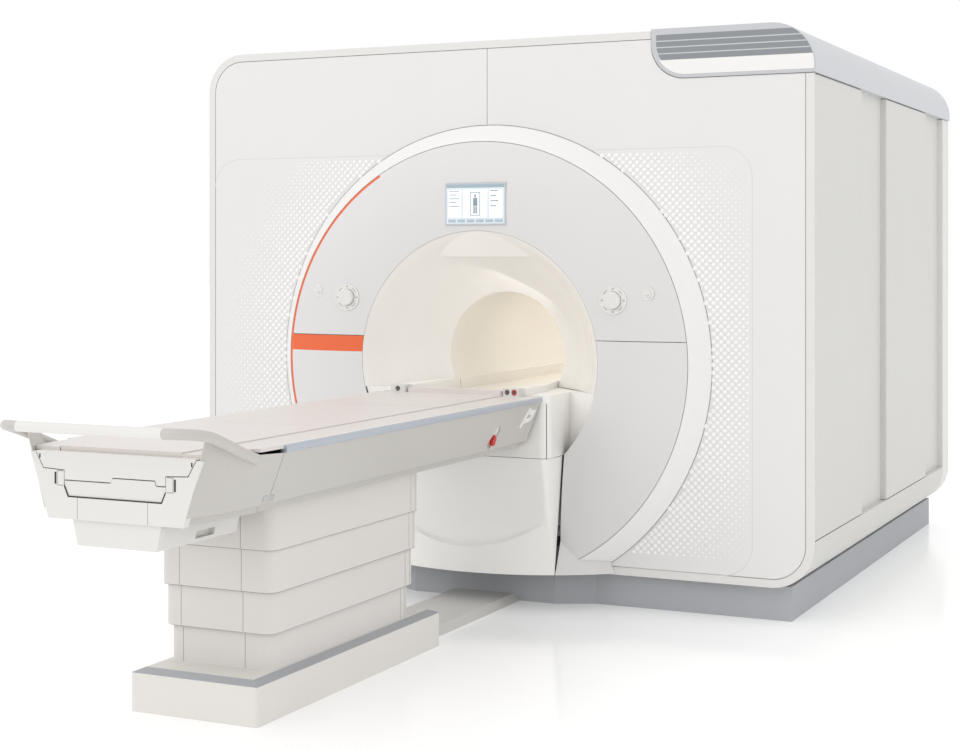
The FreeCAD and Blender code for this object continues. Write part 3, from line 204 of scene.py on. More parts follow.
# %% Finishes of the table
table_lacquer = panel_finish("satin_lacquered_pu_table_covers", "#c5c2bd", 0.36, coat=0.1)
cap_abs = panel_finish("moulded_abs_end_caps", "#e2e0dc", 0.42)
column_lacquer = panel_finish("sprayed_steel_column_sleeves", "#dfdbd7", 0.42)
foot_lacquer = panel_finish("sprayed_steel_foot_box", "#e3e0db", 0.45)
deck_laminate = panel_finish("satin_laminate_deck", "#ded8d4", 0.38)
board_laminate = panel_finish("satin_laminate_tabletop", "#ded7d3", 0.36)
rail_anodised = panel_finish("anodised_aluminium_edge_rails", "#b9bfc8", 0.34, metallic=0.35)
handle_abs = panel_finish("soft_touch_abs_handle", "#e6e4e1", 0.45)
duct_powder = panel_finish("powder_coated_steel_floor_duct", "#d9d8d4", 0.5, peel_mm=5, peel=0.05)
steel_powder = panel_finish("powder_coated_steel_frames", "#aeb1b4", 0.5, peel_mm=5, peel=0.06)
socket_abs = panel_finish("moulded_abs_coil_sockets", "#dcdbd8", 0.4)
drive_enamel = panel_finish("enamelled_motor_housing", "#565b61", 0.45)
control_abs = panel_finish("moulded_abs_control_plates", "#e6e5e1", 0.34, coat=0.1)
knob_abs = panel_finish("moulded_abs_knobs", "#e1e0dd", 0.32, coat=0.15)
lever_abs = panel_finish("red_moulded_abs_levers", "#c9261c", 0.3, coat=0.2)

for node_name, finish in {
    "side_cover_left": table_lacquer, "side_cover_right": table_lacquer, "foot_cover_left": table_lacquer,
    "foot_cover_right": table_lacquer, "end_cap_upper": cap_abs, "end_cap_lower": cap_abs,
    "under_box": cap_abs, "column_cover_fixed": column_lacquer, "column_cover_lower": column_lacquer,
    "column_cover_middle": column_lacquer, "column_cover_upper": column_lacquer, "foot_box": foot_lacquer,
    "foot_strip": plinth_powder, "table_deck": deck_laminate, "tabletop_board": board_laminate,
    "edge_rails": rail_anodised, "handle_bar": handle_abs, "cable_duct": duct_powder,
    "table_frame": steel_powder, "lift_outer_stage": steel_powder, "lift_middle_stage": steel_powder,
    "lift_inner_stage": steel_powder, "magnet_saddles": steel_powder, "socket_blocks": socket_abs,
    "slide_drive": drive_enamel, "control_plates": control_abs, "knob_left": knob_abs,
    "knob_right": knob_abs, "stop_button_left": knob_abs, "stop_button_right": knob_abs,
    "release_lever_left": lever_abs, "release_lever_right": lever_abs,
}.items():
    dress(node_name, finish)

# %% [markdown]
# Three finishes are inside the magnet and never seen: brushed steel on the vessel and
# the cold head, and amber resin on the gradient coil. A brushed metal's scratches run
# one way, so its noise is squeezed along that way. The orange line and band are
# printed film, and the screen is dark glass.

# %% Metal, resin, film and glass
def brushed_metal(name, colour, roughness):
    """Long fine scratches along Y, 3 mm apart, which is as coarse as a view of the whole shows."""
    material, tree, shader, place = new_material(name)
    squeeze = add_node(tree, "ShaderNodeMapping", Vector=place, Scale=(1.0, 0.02, 1.0))
    scratch = add_node(tree, "ShaderNodeTexNoise", Vector=squeeze.outputs["Vector"],
                       Scale=1 / 0.003, Detail=3.0)
    gloss = add_node(tree, "ShaderNodeMapRange", Value=scratch.outputs["Fac"],
                     To_Min=roughness * 0.7, To_Max=roughness * 1.3)
    tree.links.new(gloss.outputs["Result"], shader.inputs["Roughness"])
    bump = add_node(tree, "ShaderNodeBump", Height=scratch.outputs["Fac"], Strength=0.08, Distance=0.001)
    tree.links.new(bump.outputs["Normal"], shader.inputs["Normal"])
    shader.inputs["Base Color"].default_value = linear(colour)
    shader.inputs["Metallic"].default_value = 1.0
    return material


vessel_steel = brushed_metal("brushed_stainless_vessel", "#c4c6c8", 0.35)
dress("cryostat", vessel_steel)
dress("cold_head", brushed_metal("brushed_stainless_cold_head", "#b1b4b7", 0.3))
dress("gradient_coil", panel_finish("cast_epoxy_gradient_coil", "#a87a3c", 0.35, mottle=0.15))
film_orange = panel_finish("printed_orange_film", "#e8622a", 0.3, coat=0.3, mottle=0.02)
dress("accent_film", film_orange)
dress("display_screen", panel_finish("dark_cover_glass", "#c3c9cf", 0.08, coat=0.6, peel=0.0))

# %% [markdown]
# ## Making pieces by hand
#
# Every piece below starts as a primitive that is then shaped, the way it is done with
# the mouse. Operators act on whatever is selected, and loading the construction left
# all of it selected, so each piece begins with nothing selected. It ends with its place
# applied to its mesh, because a finished piece keeps its object at the origin.

# %% Helpers for modelling
def begin():
    """Nothing selected, in object mode."""
    if bpy.context.object and bpy.context.object.mode != "OBJECT":
        bpy.ops.object.mode_set(mode="OBJECT")
    bpy.ops.object.select_all(action="DESELECT")


def pick(*objects):
    """Exactly these objects selected, the first one active."""
    begin()
    for obj in objects:
        obj.select_set(True)
    bpy.context.view_layer.objects.active = objects[0]
    return objects[0]


def apply_place(obj):
    pick(obj)
    bpy.ops.object.transform_apply(location=True, rotation=True, scale=True)


def apply_modifier(obj, kind, **settings):
    pick(obj)
    modifier = obj.modifiers.new(kind.lower(), kind)
    for name, value in settings.items():
        setattr(modifier, name, value)
    bpy.ops.object.modifier_apply(modifier=modifier.name)


def join(objects):
    pick(*objects)
    if len(objects) > 1:
        bpy.ops.object.join()
    return bpy.context.view_layer.objects.active


def choose(obj, kind, test):
    """Enters edit mode with only the FACEs or EDGEs that pass the test selected."""
    pick(obj)
    bpy.ops.object.mode_set(mode="EDIT")
    bpy.ops.mesh.select_mode(type=kind)
    bpy.ops.mesh.select_all(action="DESELECT")
    bpy.ops.object.mode_set(mode="OBJECT")
    for item in obj.data.polygons if kind == "FACE" else obj.data.edges:
        item.select = test(item)
    bpy.ops.object.mode_set(mode="EDIT")


def done(obj, name, body, material, smooth=40):
    """Names a piece, gives it its finish and body, and shades its gentle edges smooth."""
    apply_place(obj)
    obj.name = name
    obj.data.name = name
    obj.data.materials.clear()
    obj.data.materials.append(material)
    pick(obj)
    bpy.ops.object.shade_smooth_by_angle(angle=math.radians(smooth))
    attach(obj, body)
    print(name, len(obj.data.polygons), "faces")
    return obj


def bar(start, end, width, depth, out=(0, -1, 0), round_off=0.0):
    """A straight bar between two points, its width across and its depth along out."""
    start, end, out = Vector(start), Vector(end), Vector(out).normalized()
    along = (end - start).normalized()
    across = out.cross(along).normalized()
    begin()
    bpy.ops.mesh.primitive_cube_add(size=1)
    obj = bpy.context.object
    turn = Matrix((along, across, out)).transposed().to_4x4()
    size = Matrix.Diagonal(((end - start).length, width, depth, 1))
    obj.matrix_world = Matrix.Translation((start + end) / 2) @ turn @ size
    apply_place(obj)
    if round_off:
        apply_modifier(obj, "BEVEL", width=round_off, segments=2)
    return obj


# %% [markdown]
# ## The raised dots round the ring
#
# The front covers are one moulding, and the dots are domes in its surface: largest at
# the ring and shrinking away from it until they vanish. A dome is a small sphere cut
# flat, copied to a staggered grid. Every copy stays light, since there are over a
# thousand of them, and the copies on one side are joined into one piece.

# %% One dome
DOT_PITCH = 34 * MM
DOT_FADE = 0.42
DOT_RADIUS = 11.5 * MM
DOT_SINK = 0.2 * MM
DOT_FLATNESS = 0.6
FIELD_TOP, FIELD_BOTTOM, FIELD_SIDE = 2.073, 0.235, 1.279
FIELD_LEFT, FIELD_CORNER = -1.517, 0.14
COVER_FRONT_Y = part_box("front_cover_right")[0].y
begin()
bpy.ops.mesh.primitive_uv_sphere_add(segments=10, ring_count=8, radius=1.0)
dome = bpy.context.object
bpy.ops.object.mode_set(mode="EDIT")
bpy.ops.mesh.select_all(action="SELECT")
bpy.ops.mesh.bisect(plane_co=(0, 0, 0.02), plane_no=(0, 0, 1), clear_inner=True)
bpy.ops.object.mode_set(mode="OBJECT")
dome.matrix_world = Matrix.Rotation(math.radians(90), 4, "X")
apply_place(dome)
print("one dome:", len(dome.data.polygons), "faces")


# %% Where a dome sits and how large it is
def in_field(x, z, margin):
    """Whether a place lies in the dotted field, this far inside its rounded outline."""
    if not FIELD_BOTTOM + margin < z < FIELD_TOP - margin:
        return False
    if not FIELD_LEFT + margin < x < FIELD_SIDE - margin:
        return False
    for corner_x, side in ((FIELD_SIDE - FIELD_CORNER, 1), (FIELD_LEFT + FIELD_CORNER, -1)):
        corner_z = FIELD_TOP - FIELD_CORNER
        beyond = (x - corner_x) * side > 0 and z > corner_z
        if beyond and math.hypot(x - corner_x, z - corner_z) > FIELD_CORNER - margin:
            return False
    return True


def dome_scale(x, z):
    """1 at the ring, fading to nothing at the end of the fade."""
    beyond = math.hypot(x, z - RING_Z) - RING_R
    if beyond < DOT_RADIUS * 0.6:
        return 0.0
    fade = 1 - beyond / DOT_FADE
    return fade ** 0.8 if fade > 0.06 else 0.0


def dot_field(name, side):
    row_step = DOT_PITCH / 2
    copies = []
    for row in range(int((FIELD_TOP - FIELD_BOTTOM) / row_step)):
        z = FIELD_BOTTOM + (row + 0.5) * row_step
        for column in range(60):
            x = side * (0.1 + (column + 0.5 * (row % 2)) * DOT_PITCH)
            scale = dome_scale(x, z)
            if not scale or not in_field(x, z, DOT_RADIUS):
                continue
            copy = dome.copy()
            copy.data = dome.data.copy()
            radius = DOT_RADIUS * scale
            copy.data.transform(Matrix.Translation((x, COVER_FRONT_Y + DOT_SINK, z))
                                @ Matrix.Diagonal((radius, radius * DOT_FLATNESS, radius, 1)))
            bpy.context.scene.collection.objects.link(copy)
            copies.append(copy)
    field = join(copies)
    print(name, len(copies), "domes")
    return done(field, name, "machine", raised_dots_highlight, smooth=60)


# %% Both fields
# The domes are a lighter white than the cover they are moulded in: a painted highlight on the domes.
raised_dots_highlight = panel_finish("raised_dots_painted_highlight", "#f6f5f4", 0.36, peel=0.0)
dot_field("raised_dots_left", -1)
dot_field("raised_dots_right", 1)
bpy.data.objects.remove(dome)

# %% [markdown]
# The field has a fine pressed line round it. It is a shallow bead, modelled as short
# bars along the straight edges and round the corners, coloured darker than the cover:
# painted shade along the pressed line.

# %% The pressed outline of the dotted fields
def outline_bead(name, points, body, width=3 * MM, depth=0.8 * MM):
    bars = [bar(a, b, width, depth) for a, b in zip(points, points[1:])]
    return done(join(bars), name, body, pressed_line_shade, smooth=60)


# Darker than the cover's own lacquer: painted shade in the pressed line.
pressed_line_shade = panel_finish("pressed_line_painted_shade", "#d6d5d3", 0.45)


def arc(centre_x, centre_z, radius, start, stop, steps=8):
    """Points of an arc on the front face, angles in degrees from +X."""
    angles = [math.radians(start + (stop - start) * i / steps) for i in range(steps + 1)]
    return [(centre_x + radius * math.cos(a), COVER_FRONT_Y, centre_z + radius * math.sin(a)) for a in angles]


def ring_x(z, beyond=2 * MM):
    """How far out the ring's edge is at a height."""
    return math.sqrt((RING_R + beyond) ** 2 - (z - RING_Z) ** 2)


inner = FIELD_CORNER
right_line = [(ring_x(FIELD_TOP), COVER_FRONT_Y, FIELD_TOP)]
right_line += arc(FIELD_SIDE - inner, FIELD_TOP - inner, inner, 90, 0)
right_line += arc(FIELD_SIDE - inner, FIELD_BOTTOM - 0.05 + inner, inner, 0, -90)
right_line += [(ring_x(FIELD_BOTTOM), COVER_FRONT_Y, FIELD_BOTTOM - 0.05)]
outline_bead("dot_field_line_right", right_line, "machine")
left_line = [(-ring_x(FIELD_TOP), COVER_FRONT_Y, FIELD_TOP)]
left_line += arc(FIELD_LEFT + inner, FIELD_TOP - inner, inner, 90, 180)
outline_bead("dot_field_line_left", left_line, "machine")

# %% [markdown]
# ## The touch screen
#
# A tablet-sized screen sits above the bore. Its picture is generic: a title bar, a
# patient outline on a couch, a few value fields and a row of keys, all flat plates a
# few tenths of a millimetre thick that glow faintly like a lit display.

# %% A display finish
def display_finish(name, colour, glow):
    """Lit LCD: the colour shines a little, unevenly from the backlight over 60 mm."""
    material, tree, shader, place = new_material(name)
    backlight = add_node(tree, "ShaderNodeTexNoise", Vector=place, Scale=1 / 0.06, Detail=1.0)
    shade = tuple(c * 0.93 for c in linear(colour)[:3]) + (1.0,)
    tone = add_node(tree, "ShaderNodeMix", {"data_type": "RGBA"}, _0=backlight.outputs["Fac"],
                    _6=shade, _7=linear(colour))
    tree.links.new(tone.outputs[2], shader.inputs["Base Color"])
    tree.links.new(tone.outputs[2], shader.inputs["Emission Color"])
    shader.inputs["Emission Strength"].default_value = glow
    shader.inputs["Roughness"].default_value = 0.12
    return material


# %% The picture on the screen
screen_low, screen_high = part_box("display_screen")
SCREEN_W = screen_high.x - screen_low.x
SCREEN_H = screen_high.z - screen_low.z


def screen_plate(name, fields, colour, glow, lift):
    """Rounded plates at fractions of the screen: left, bottom, right, top."""
    y = screen_low.y - lift
    plates = []
    for left, bottom, right, top in fields:
        z = screen_low.z + SCREEN_H * (bottom + top) / 2
        start = (screen_low.x + SCREEN_W * left, y, z)
        end = (screen_low.x + SCREEN_W * right, y, z)
        plates.append(bar(start, end, SCREEN_H * (top - bottom), 0.4 * MM, round_off=0.1 * MM))
    return done(join(plates), name, "machine", display_finish("lcd_" + name, colour, glow))


screen_plate("screen_picture", [(0.02, 0.03, 0.98, 0.97)], "#cfd8dd", 0.25, 0.1 * MM)
screen_plate("screen_panes", [(0.05, 0.17, 0.27, 0.84), (0.30, 0.17, 0.70, 0.84), (0.73, 0.17, 0.95, 0.84)],
             "#e6ecef", 0.3, 0.3 * MM)
rows = [(0.07, 0.80 - 0.09 * i, 0.07 + 0.16 * (1 - 0.3 * (i % 2)), 0.815 - 0.09 * i) for i in range(5)]
rows += [(0.75, 0.80 - 0.12 * i, 0.75 + 0.13 * (1 - 0.25 * (i % 2)), 0.82 - 0.12 * i) for i in range(4)]
screen_plate("screen_value_rows", rows, "#7d8a94", 0.05, 0.5 * MM)
screen_plate("screen_keys", [(0.05 + 0.155 * i, 0.06, 0.175 + 0.155 * i, 0.13) for i in range(6)],
             "#a9bac4", 0.15, 0.5 * MM)
screen_plate("screen_title_bar", [(0.02, 0.885, 0.98, 0.97)], "#9fb0ba", 0.12, 0.5 * MM)
screen_plate("screen_couch_outline",
             [(0.42, 0.22, 0.58, 0.235), (0.42, 0.235, 0.43, 0.78), (0.57, 0.235, 0.58, 0.78),
              (0.42, 0.765, 0.58, 0.78), (0.485, 0.66, 0.515, 0.72), (0.465, 0.45, 0.535, 0.645),
              (0.470, 0.27, 0.495, 0.44), (0.505, 0.27, 0.530, 0.44)], "#8b9aa4", 0.08, 0.5 * MM)

# %% [markdown]
# ## The two jog controls
#
# Each knob sits in a ring of touch keys. The ring is a raised torus rim with four small
# arc marks, and the round button beside it has a crescent. All stand a millimetre or
# two proud.

# %% Rims and marks round the controls
mark_grey = panel_finish("printed_grey_marks", "#b4b6b6", 0.4)
rim_abs = panel_finish("moulded_abs_control_rims", "#f1f0ed", 0.3, coat=0.2)


def torus_on(x, y, z, radius, thick):
    begin()
    bpy.ops.mesh.primitive_torus_add(location=(x, y, z), rotation=(math.radians(90), 0, 0),
                                     major_radius=radius, minor_radius=thick,
                                     major_segments=64, minor_segments=8)
    rim = bpy.context.object
    apply_place(rim)
    return rim


def arc_mark(x, y, z, radius, middle, span, width):
    """A short printed arc, made of straight bars."""
    angles = [math.radians(middle + span * (i / 6 - 0.5)) for i in range(7)]
    points = [(x + radius * math.cos(a), y, z + radius * math.sin(a)) for a in angles]
    return [bar(a, b, width, 0.6 * MM) for a, b in zip(points, points[1:])]


for side, sign in (("left", -1), ("right", 1)):
    knob_low, knob_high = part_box("knob_" + side)
    button_low, button_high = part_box("stop_button_" + side)
    x, z = (knob_low.x + knob_high.x) / 2, (knob_low.z + knob_high.z) / 2
    plate_y = knob_low.y + 21 * MM
    button_x, button_z = (button_low.x + button_high.x) / 2, (button_low.z + button_high.z) / 2
    rims = [torus_on(x, plate_y, z, 61 * MM, 2.2 * MM), torus_on(x, plate_y, z, 42.5 * MM, 2.0 * MM),
            torus_on(button_x, button_low.y + 5.2 * MM, button_z, 27 * MM, 1.8 * MM)]
    done(join(rims), "control_rims_" + side, "machine", rim_abs, smooth=80)
    marks = []
    for quarter in range(4):
        marks += arc_mark(x, plate_y - 0.2 * MM, z, 52 * MM, 45 + 90 * quarter, 26, 4 * MM)
        marks += arc_mark(x, plate_y - 0.2 * MM, z, 52 * MM, 90 * quarter, 8, 9 * MM)
    done(join(marks), "control_marks_" + side, "machine", mark_grey)
    crescent = arc_mark(button_x, button_low.y - 0.1 * MM, button_z, 10 * MM, -90, 110, 2.5 * MM)
    done(join(crescent), "button_mark_" + side, "stop_button_" + side, mark_grey)

# %% [markdown]
# ## The pedestal's apron
#
# Below the docking shelf the cover is scooped, so that feet and a trolley find room,
# and the scoop ends in a curved crease above the floor. A grid plane is added and its
# vertices are then moved to the surface: two outlines, one straight with rounded
# corners at the top and one bowed at the floor, are blended, and the scoop is pressed
# in with a formula that falls off sharply at the crease.

# %% The apron's outlines
APRON_TOP_Z, APRON_FLOOR_Z = 0.6885, 0.155
PEDESTAL_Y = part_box("pedestal_upper_cover")[0].y
BOW_R, BOW_Y = 0.950, FRONT_Y - 0.251
CORNER_SHARE = 0.12
SCOOP_DEPTH, SCOOP_HALF = 0.055, 0.385


def mixed(a, b, share):
    return a + (b - a) * share


def front_y(x, share):
    """The unscooped front, straight at the top and bowed at the floor."""
    bow = BOW_Y + BOW_R - math.sqrt(BOW_R ** 2 - x * x)
    return mixed(PEDESTAL_Y, bow, share)


def scoop(x, z):
    """How far the surface is pressed in; nothing below the crease."""
    crease = 0.275 + 0.125 * (x / SCOOP_HALF) ** 2
    if abs(x) >= SCOOP_HALF or z <= crease:
        return 0.0
    down = (APRON_TOP_Z - z) / (APRON_TOP_Z - crease)
    edge = (1 - (x / SCOOP_HALF) ** 2) ** 0.8
    return SCOOP_DEPTH * edge * down ** 1.2 * (1 - down) ** 0.45 / 0.42


def apron_point(across, share):
    """A point of the apron: across runs 0 to 1 from seam to seam, share 0 to 1 downwards."""
    z = mixed(APRON_TOP_Z, APRON_FLOOR_Z, share)
    front_half = mixed(0.392, 0.4045, share)
    side = -1 if across < 0.5 else 1
    from_seam = min(across, 1 - across)
    if from_seam >= CORNER_SHARE:
        x = side * front_half * (0.5 - from_seam) / (0.5 - CORNER_SHARE)
        return Vector((x, front_y(x, share) + scoop(x, z), z))
    seam = Vector((mixed(0.430, 0.4076, share), mixed(FRONT_Y - 0.118, FRONT_Y - 0.154, share), z))
    corner = Vector((mixed(0.4315, 0.4080, share), mixed(PEDESTAL_Y + 0.001, FRONT_Y - 0.1555, share), z))
    front = Vector((front_half, front_y(front_half, share), z))
    t = from_seam / CORNER_SHARE
    point = seam * (1 - t) ** 2 + corner * 2 * t * (1 - t) + front * t * t
    return Vector((side * point.x, point.y, point.z))


# %% The apron as a shaped grid
begin()
bpy.ops.mesh.primitive_grid_add(x_subdivisions=120, y_subdivisions=90, size=1)
apron = bpy.context.object
for vertex in apron.data.vertices:
    vertex.co = apron_point(vertex.co.x + 0.5, 0.5 - vertex.co.y)
apply_modifier(apron, "SOLIDIFY", thickness=0.006, offset=-1)
done(apron, "pedestal_apron", "machine", pedestal_lacquer, smooth=50)
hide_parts("pedestal_lower_cover")

# %% [markdown]
# ## The column's shade bands and seams
#
# Each sleeve of the lift column carries a thin dark band round its lower edge: painted
# shade, which draws the shadowed line between two sleeves. A band is a box with its upright
# edges bevelled round, its top and bottom taken away, and a wall given by Solidify. The
# sleeves are folded from sheets that meet at upright seams.

# %% Painted shade bands under the sleeves
sleeve_painted_shade = panel_finish("painted_shade_under_sleeves", "#8f8e8b", 0.6, peel_mm=4, peel=0.1)
seam_shadow = panel_finish("dark_sealant_seams", "#8d8c89", 0.6)
SLEEVE_CORNER = 45 * MM
SHADE_BAND_INSET = 0.5 * MM
SHADE_BAND_WALL = 4 * MM


# A dark band under a sleeve's lower edge: painted shade, not a part of the column.
def sleeve_shade_band(name, sleeve, body, height=1.8 * MM):
    low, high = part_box(sleeve)
    begin()
    middle = ((low.x + high.x) / 2, (low.y + high.y) / 2, low.z - height / 2)
    size = (high.x - low.x - 2 * SHADE_BAND_INSET, high.y - low.y - 2 * SHADE_BAND_INSET, height)
    bpy.ops.mesh.primitive_cube_add(size=1, location=middle, scale=size)
    ring = bpy.context.object
    apply_place(ring)
    heights = [v.co.z for v in ring.data.vertices]
    choose(ring, "EDGE", lambda edge: heights[edge.vertices[0]] != heights[edge.vertices[1]])
    bpy.ops.mesh.bevel(offset=SLEEVE_CORNER, segments=8)
    choose(ring, "FACE", lambda face: abs(face.normal.z) > 0.9)
    bpy.ops.mesh.delete(type="ONLY_FACE")
    bpy.ops.object.mode_set(mode="OBJECT")
    apply_modifier(ring, "SOLIDIFY", thickness=SHADE_BAND_WALL, offset=-1)
    return done(ring, name, body, sleeve_painted_shade, smooth=50)


sleeve_shade_band("shade_band_upper", "column_cover_upper", "table")
sleeve_shade_band("shade_band_middle", "column_cover_middle", "tier_middle")
sleeve_shade_band("shade_band_lower", "column_cover_lower", "tier_lower", 1.2 * MM)


# %% Upright seams of the sleeves
def column_seams(name, sleeve, body, top_z):
    low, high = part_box(sleeve)
    z0, z1 = low.z + 1 * MM, top_z
    seams = [bar((x, low.y, z0), (x, low.y, z1), 1.8 * MM, 0.5 * MM) for x in (-0.15, 0.11)]
    for sign, x in ((-1, low.x), (1, high.x)):
        for y in (high.y - 0.085, high.y - 0.048):
            seams.append(bar((x, y, z0), (x, y, z1), 1.8 * MM, 0.5 * MM, out=(sign, 0, 0)))
    return done(join(seams), name, body, seam_shadow)


sleeves = (("column_cover_fixed", "machine"), ("column_cover_lower", "tier_lower"),
           ("column_cover_middle", "tier_middle"), ("column_cover_upper", "table"))
for i, (sleeve, body) in enumerate(sleeves):
    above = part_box(sleeves[i + 1][0])[0].z - 4 * MM if i < 3 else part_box(sleeve)[1].z - 2 * MM
    column_seams(sleeve.replace("cover", "seams"), sleeve, body, above)

# %% [markdown]
# ## Small parts of the table
#
# The foot end has latch slots, drawn as near-black plates that are painted shade in the
# openings, and a near-black line along its hatch's lower edge; the side has a white
# docking latch near the head end and a lined recess behind each red lever; the deck's
# channel has a pale sealing lip on each side; the sockets have coloured rims.

# %% The foot end's painted slot shade, hatch line and seams
slot_shade_and_hatch_line = panel_finish("near_black_slot_shade_and_hatch_line", "#2b2b2c", 0.55, peel_mm=4, peel=0.1)
CAP_Y = TABLE_FOOT_Y
# The latch slots are near-black plates on the cover: painted shade for the openings.
slots = [bar((sign * 0.236, CAP_Y, 0.850), (sign * 0.236, CAP_Y, 0.889), 7 * MM, 1 * MM) for sign in (-1, 1)]
slots += [bar((sign * 0.300, CAP_Y, 0.932), (sign * 0.300, CAP_Y, 0.946), 5 * MM, 1 * MM) for sign in (-1, 1)]
hatch_line_points = [(-0.200, CAP_Y, 0.8455), (-0.1845, CAP_Y, 0.8115), (0.1845, CAP_Y, 0.8115), (0.200, CAP_Y, 0.8455)]
slots += [bar(a, b, 4.5 * MM, 1 * MM) for a, b in zip(hatch_line_points, hatch_line_points[1:])]
done(join(slots), "foot_end_slot_shade_and_hatch_line", "table", slot_shade_and_hatch_line)
frames = []
for sign in (-1, 1):
    corners = [(sign * 0.205, 0.8935), (sign * 0.229, 0.8935), (sign * 0.229, 0.8465), (sign * 0.205, 0.8465)]
    frames += [bar((a[0], CAP_Y, a[1]), (b[0], CAP_Y, b[1]), 2 * MM, 0.8 * MM)
               for a, b in zip(corners, corners[1:])]
for x in (-0.147, 0.131):
    frames.append(bar((x, CAP_Y, 0.739), (x, CAP_Y, 0.8085), 1.6 * MM, 0.6 * MM))
done(join(frames), "foot_end_seams", "table", seam_shadow)

# %% The docking latches
SIDE_FOOT_X, SIDE_FOOT_Z = 0.333, 0.770
SIDE_SLOPE = 67 / 172


def side_x(z):
    """The slanting side cover's outer face at a height."""
    return SIDE_FOOT_X + (z - SIDE_FOOT_Z) * SIDE_SLOPE


latch_abs = panel_finish("white_moulded_pom_latches", "#f3f2ee", 0.35)
LATCH_STROKES = (
    ((-1.945, 0.926), (-1.985, 0.842), 16 * MM),
    ((-1.972, 0.868), (-1.905, 0.872), 22 * MM),
    ((-1.935, 0.906), (-1.872, 0.902), 26 * MM),
    ((-1.905, 0.868), (-1.880, 0.905), 20 * MM),
)
for name, sign in (("left", -1), ("right", 1)):
    out = (sign, 0, -SIDE_SLOPE)
    parts = []
    for (y0, z0), (y1, z1), width in LATCH_STROKES:
        start, end = (sign * side_x(z0), y0, z0), (sign * side_x(z1), y1, z1)
        parts.append(bar(start, end, width, 9 * MM, out=out, round_off=2 * MM))
    done(join(parts), "docking_latch_" + name, "table", latch_abs)

# %% The lever recesses
LEVER_Y, LEVER_Z = -2.236, 0.820
DISH_DEPTH, DISH_WIDTH, DISH_LENGTH = 19 * MM, 23.5 * MM, 56.5 * MM
DISH_SINK = 5 * MM
for name, sign in (("left", -1), ("right", 1)):
    begin()
    bpy.ops.mesh.primitive_uv_sphere_add(segments=32, ring_count=16, radius=1)
    dish = bpy.context.object
    bpy.ops.object.mode_set(mode="EDIT")
    bpy.ops.mesh.select_all(action="SELECT")
    bpy.ops.mesh.bisect(plane_co=(0, 0, 0), plane_no=(sign, 0, 0), clear_outer=True)
    bpy.ops.mesh.select_all(action="SELECT")
    bpy.ops.mesh.flip_normals()
    bpy.ops.object.mode_set(mode="OBJECT")
    lean = Matrix.Rotation(math.atan(SIDE_SLOPE) * sign, 4, "Y")
    turn = Matrix.Rotation(math.radians(-35), 4, "X")
    middle = Vector((sign * (side_x(LEVER_Z) - DISH_SINK), LEVER_Y, LEVER_Z))
    size = Matrix.Diagonal((DISH_DEPTH, DISH_WIDTH, DISH_LENGTH, 1))
    dish.matrix_world = Matrix.Translation(middle) @ lean @ turn @ size
    apply_place(dish)
    apply_modifier(dish, "SOLIDIFY", thickness=1 * MM, offset=-1)
    done(dish, "lever_recess_" + name, "table", latch_abs, smooth=80)

# %% Socket rims, sealing lips, top seams and a bare plate
SOCKET_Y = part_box("socket_blocks")[0].y
SOCKET_Z = 0.987
red_rim = panel_finish("red_moulded_abs_socket_rim", "#c9261c", 0.35)
grey_rim = panel_finish("grey_moulded_abs_socket_rims", "#6d6f72", 0.4)
rim = torus_on(0.300, SOCKET_Y, SOCKET_Z, 10.5 * MM, 2.6 * MM)
done(rim, "socket_rim_red", "table", red_rim, 80)
rims = [torus_on(x, SOCKET_Y, SOCKET_Z, 10 * MM, 2 * MM) for x in (0.266, -0.282)]
done(join(rims), "socket_rims_grey", "table", grey_rim, 80)
lip_rubber = panel_finish("pale_rubber_sealing_lips", "#cbc6c1", 0.55)


def table_lines(x, z, y0, y1, width, depth):
    """A pair of bars along the table, one on each side."""
    return join([bar((side * x, y0, z), (side * x, y1, z), width, depth, out=(0, 0, 1)) for side in (-1, 1)])


lips = table_lines(0.2415, 0.9655, TABLE_FOOT_Y + 0.04, TABLE_HEAD_Y, 2.3 * MM, 4 * MM)
done(lips, "sealing_lips", "table", lip_rubber)
pinstripe = panel_finish("pale_trim_line", "#f2f1ef", 0.35)
lines = table_lines(0.383, TABLE_TOP_Z, -3.96, TABLE_HEAD_Y - 0.01, 5 * MM, 0.8 * MM)
done(lines, "deck_trim_lines", "table", pinstripe)
mat_seam = panel_finish("pressed_seam_in_laminate", "#c9c2bd", 0.5)
board_top = TABLE_TOP_Z + 4 * MM
seams = [bar((-0.238, y, board_top), (0.238, y, board_top), 2 * MM, 0.5 * MM, out=(0, 0, 1))
         for y in (-3.42, -2.55)]
done(join(seams), "tabletop_seams", "tabletop", mat_seam)
plate_metal = panel_finish("etched_aluminium_plate", "#bfc0c1", 0.35, metallic=0.6)
PLATE_Z = 0.788
plate = bar((side_x(PLATE_Z), -4.02, PLATE_Z), (side_x(PLATE_Z), -3.955, PLATE_Z), 24 * MM, 1 * MM,
            out=(1, 0, -SIDE_SLOPE), round_off=0.4 * MM)
done(plate, "bare_rating_plate", "table", plate_metal)

# %% [markdown]
# ## The grille plate over the corner vent
#
# The vent's face is a dark plate with thin light slats, and below them a pale strip
# that is left bare. The plates follow the corner block's own outline: a large round
# at the lower left and the enclosure's round at the upper right. Each plate is a grid
# one face wide, whose rows are moved out to that outline before Solidify thickens it.
# The plates cover the construction's own louvres, whose opening is narrower.

# %% Outline of the corner block, drawn in by a margin
VENT_LOW, VENT_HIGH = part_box("vent_frame")
VENT_LEFT_R, VENT_RIGHT_R = 0.160, 0.190
VENT_RIGHT_MARGIN = 0.006
STRIP_TOP_Z = VENT_LOW.z + 0.082


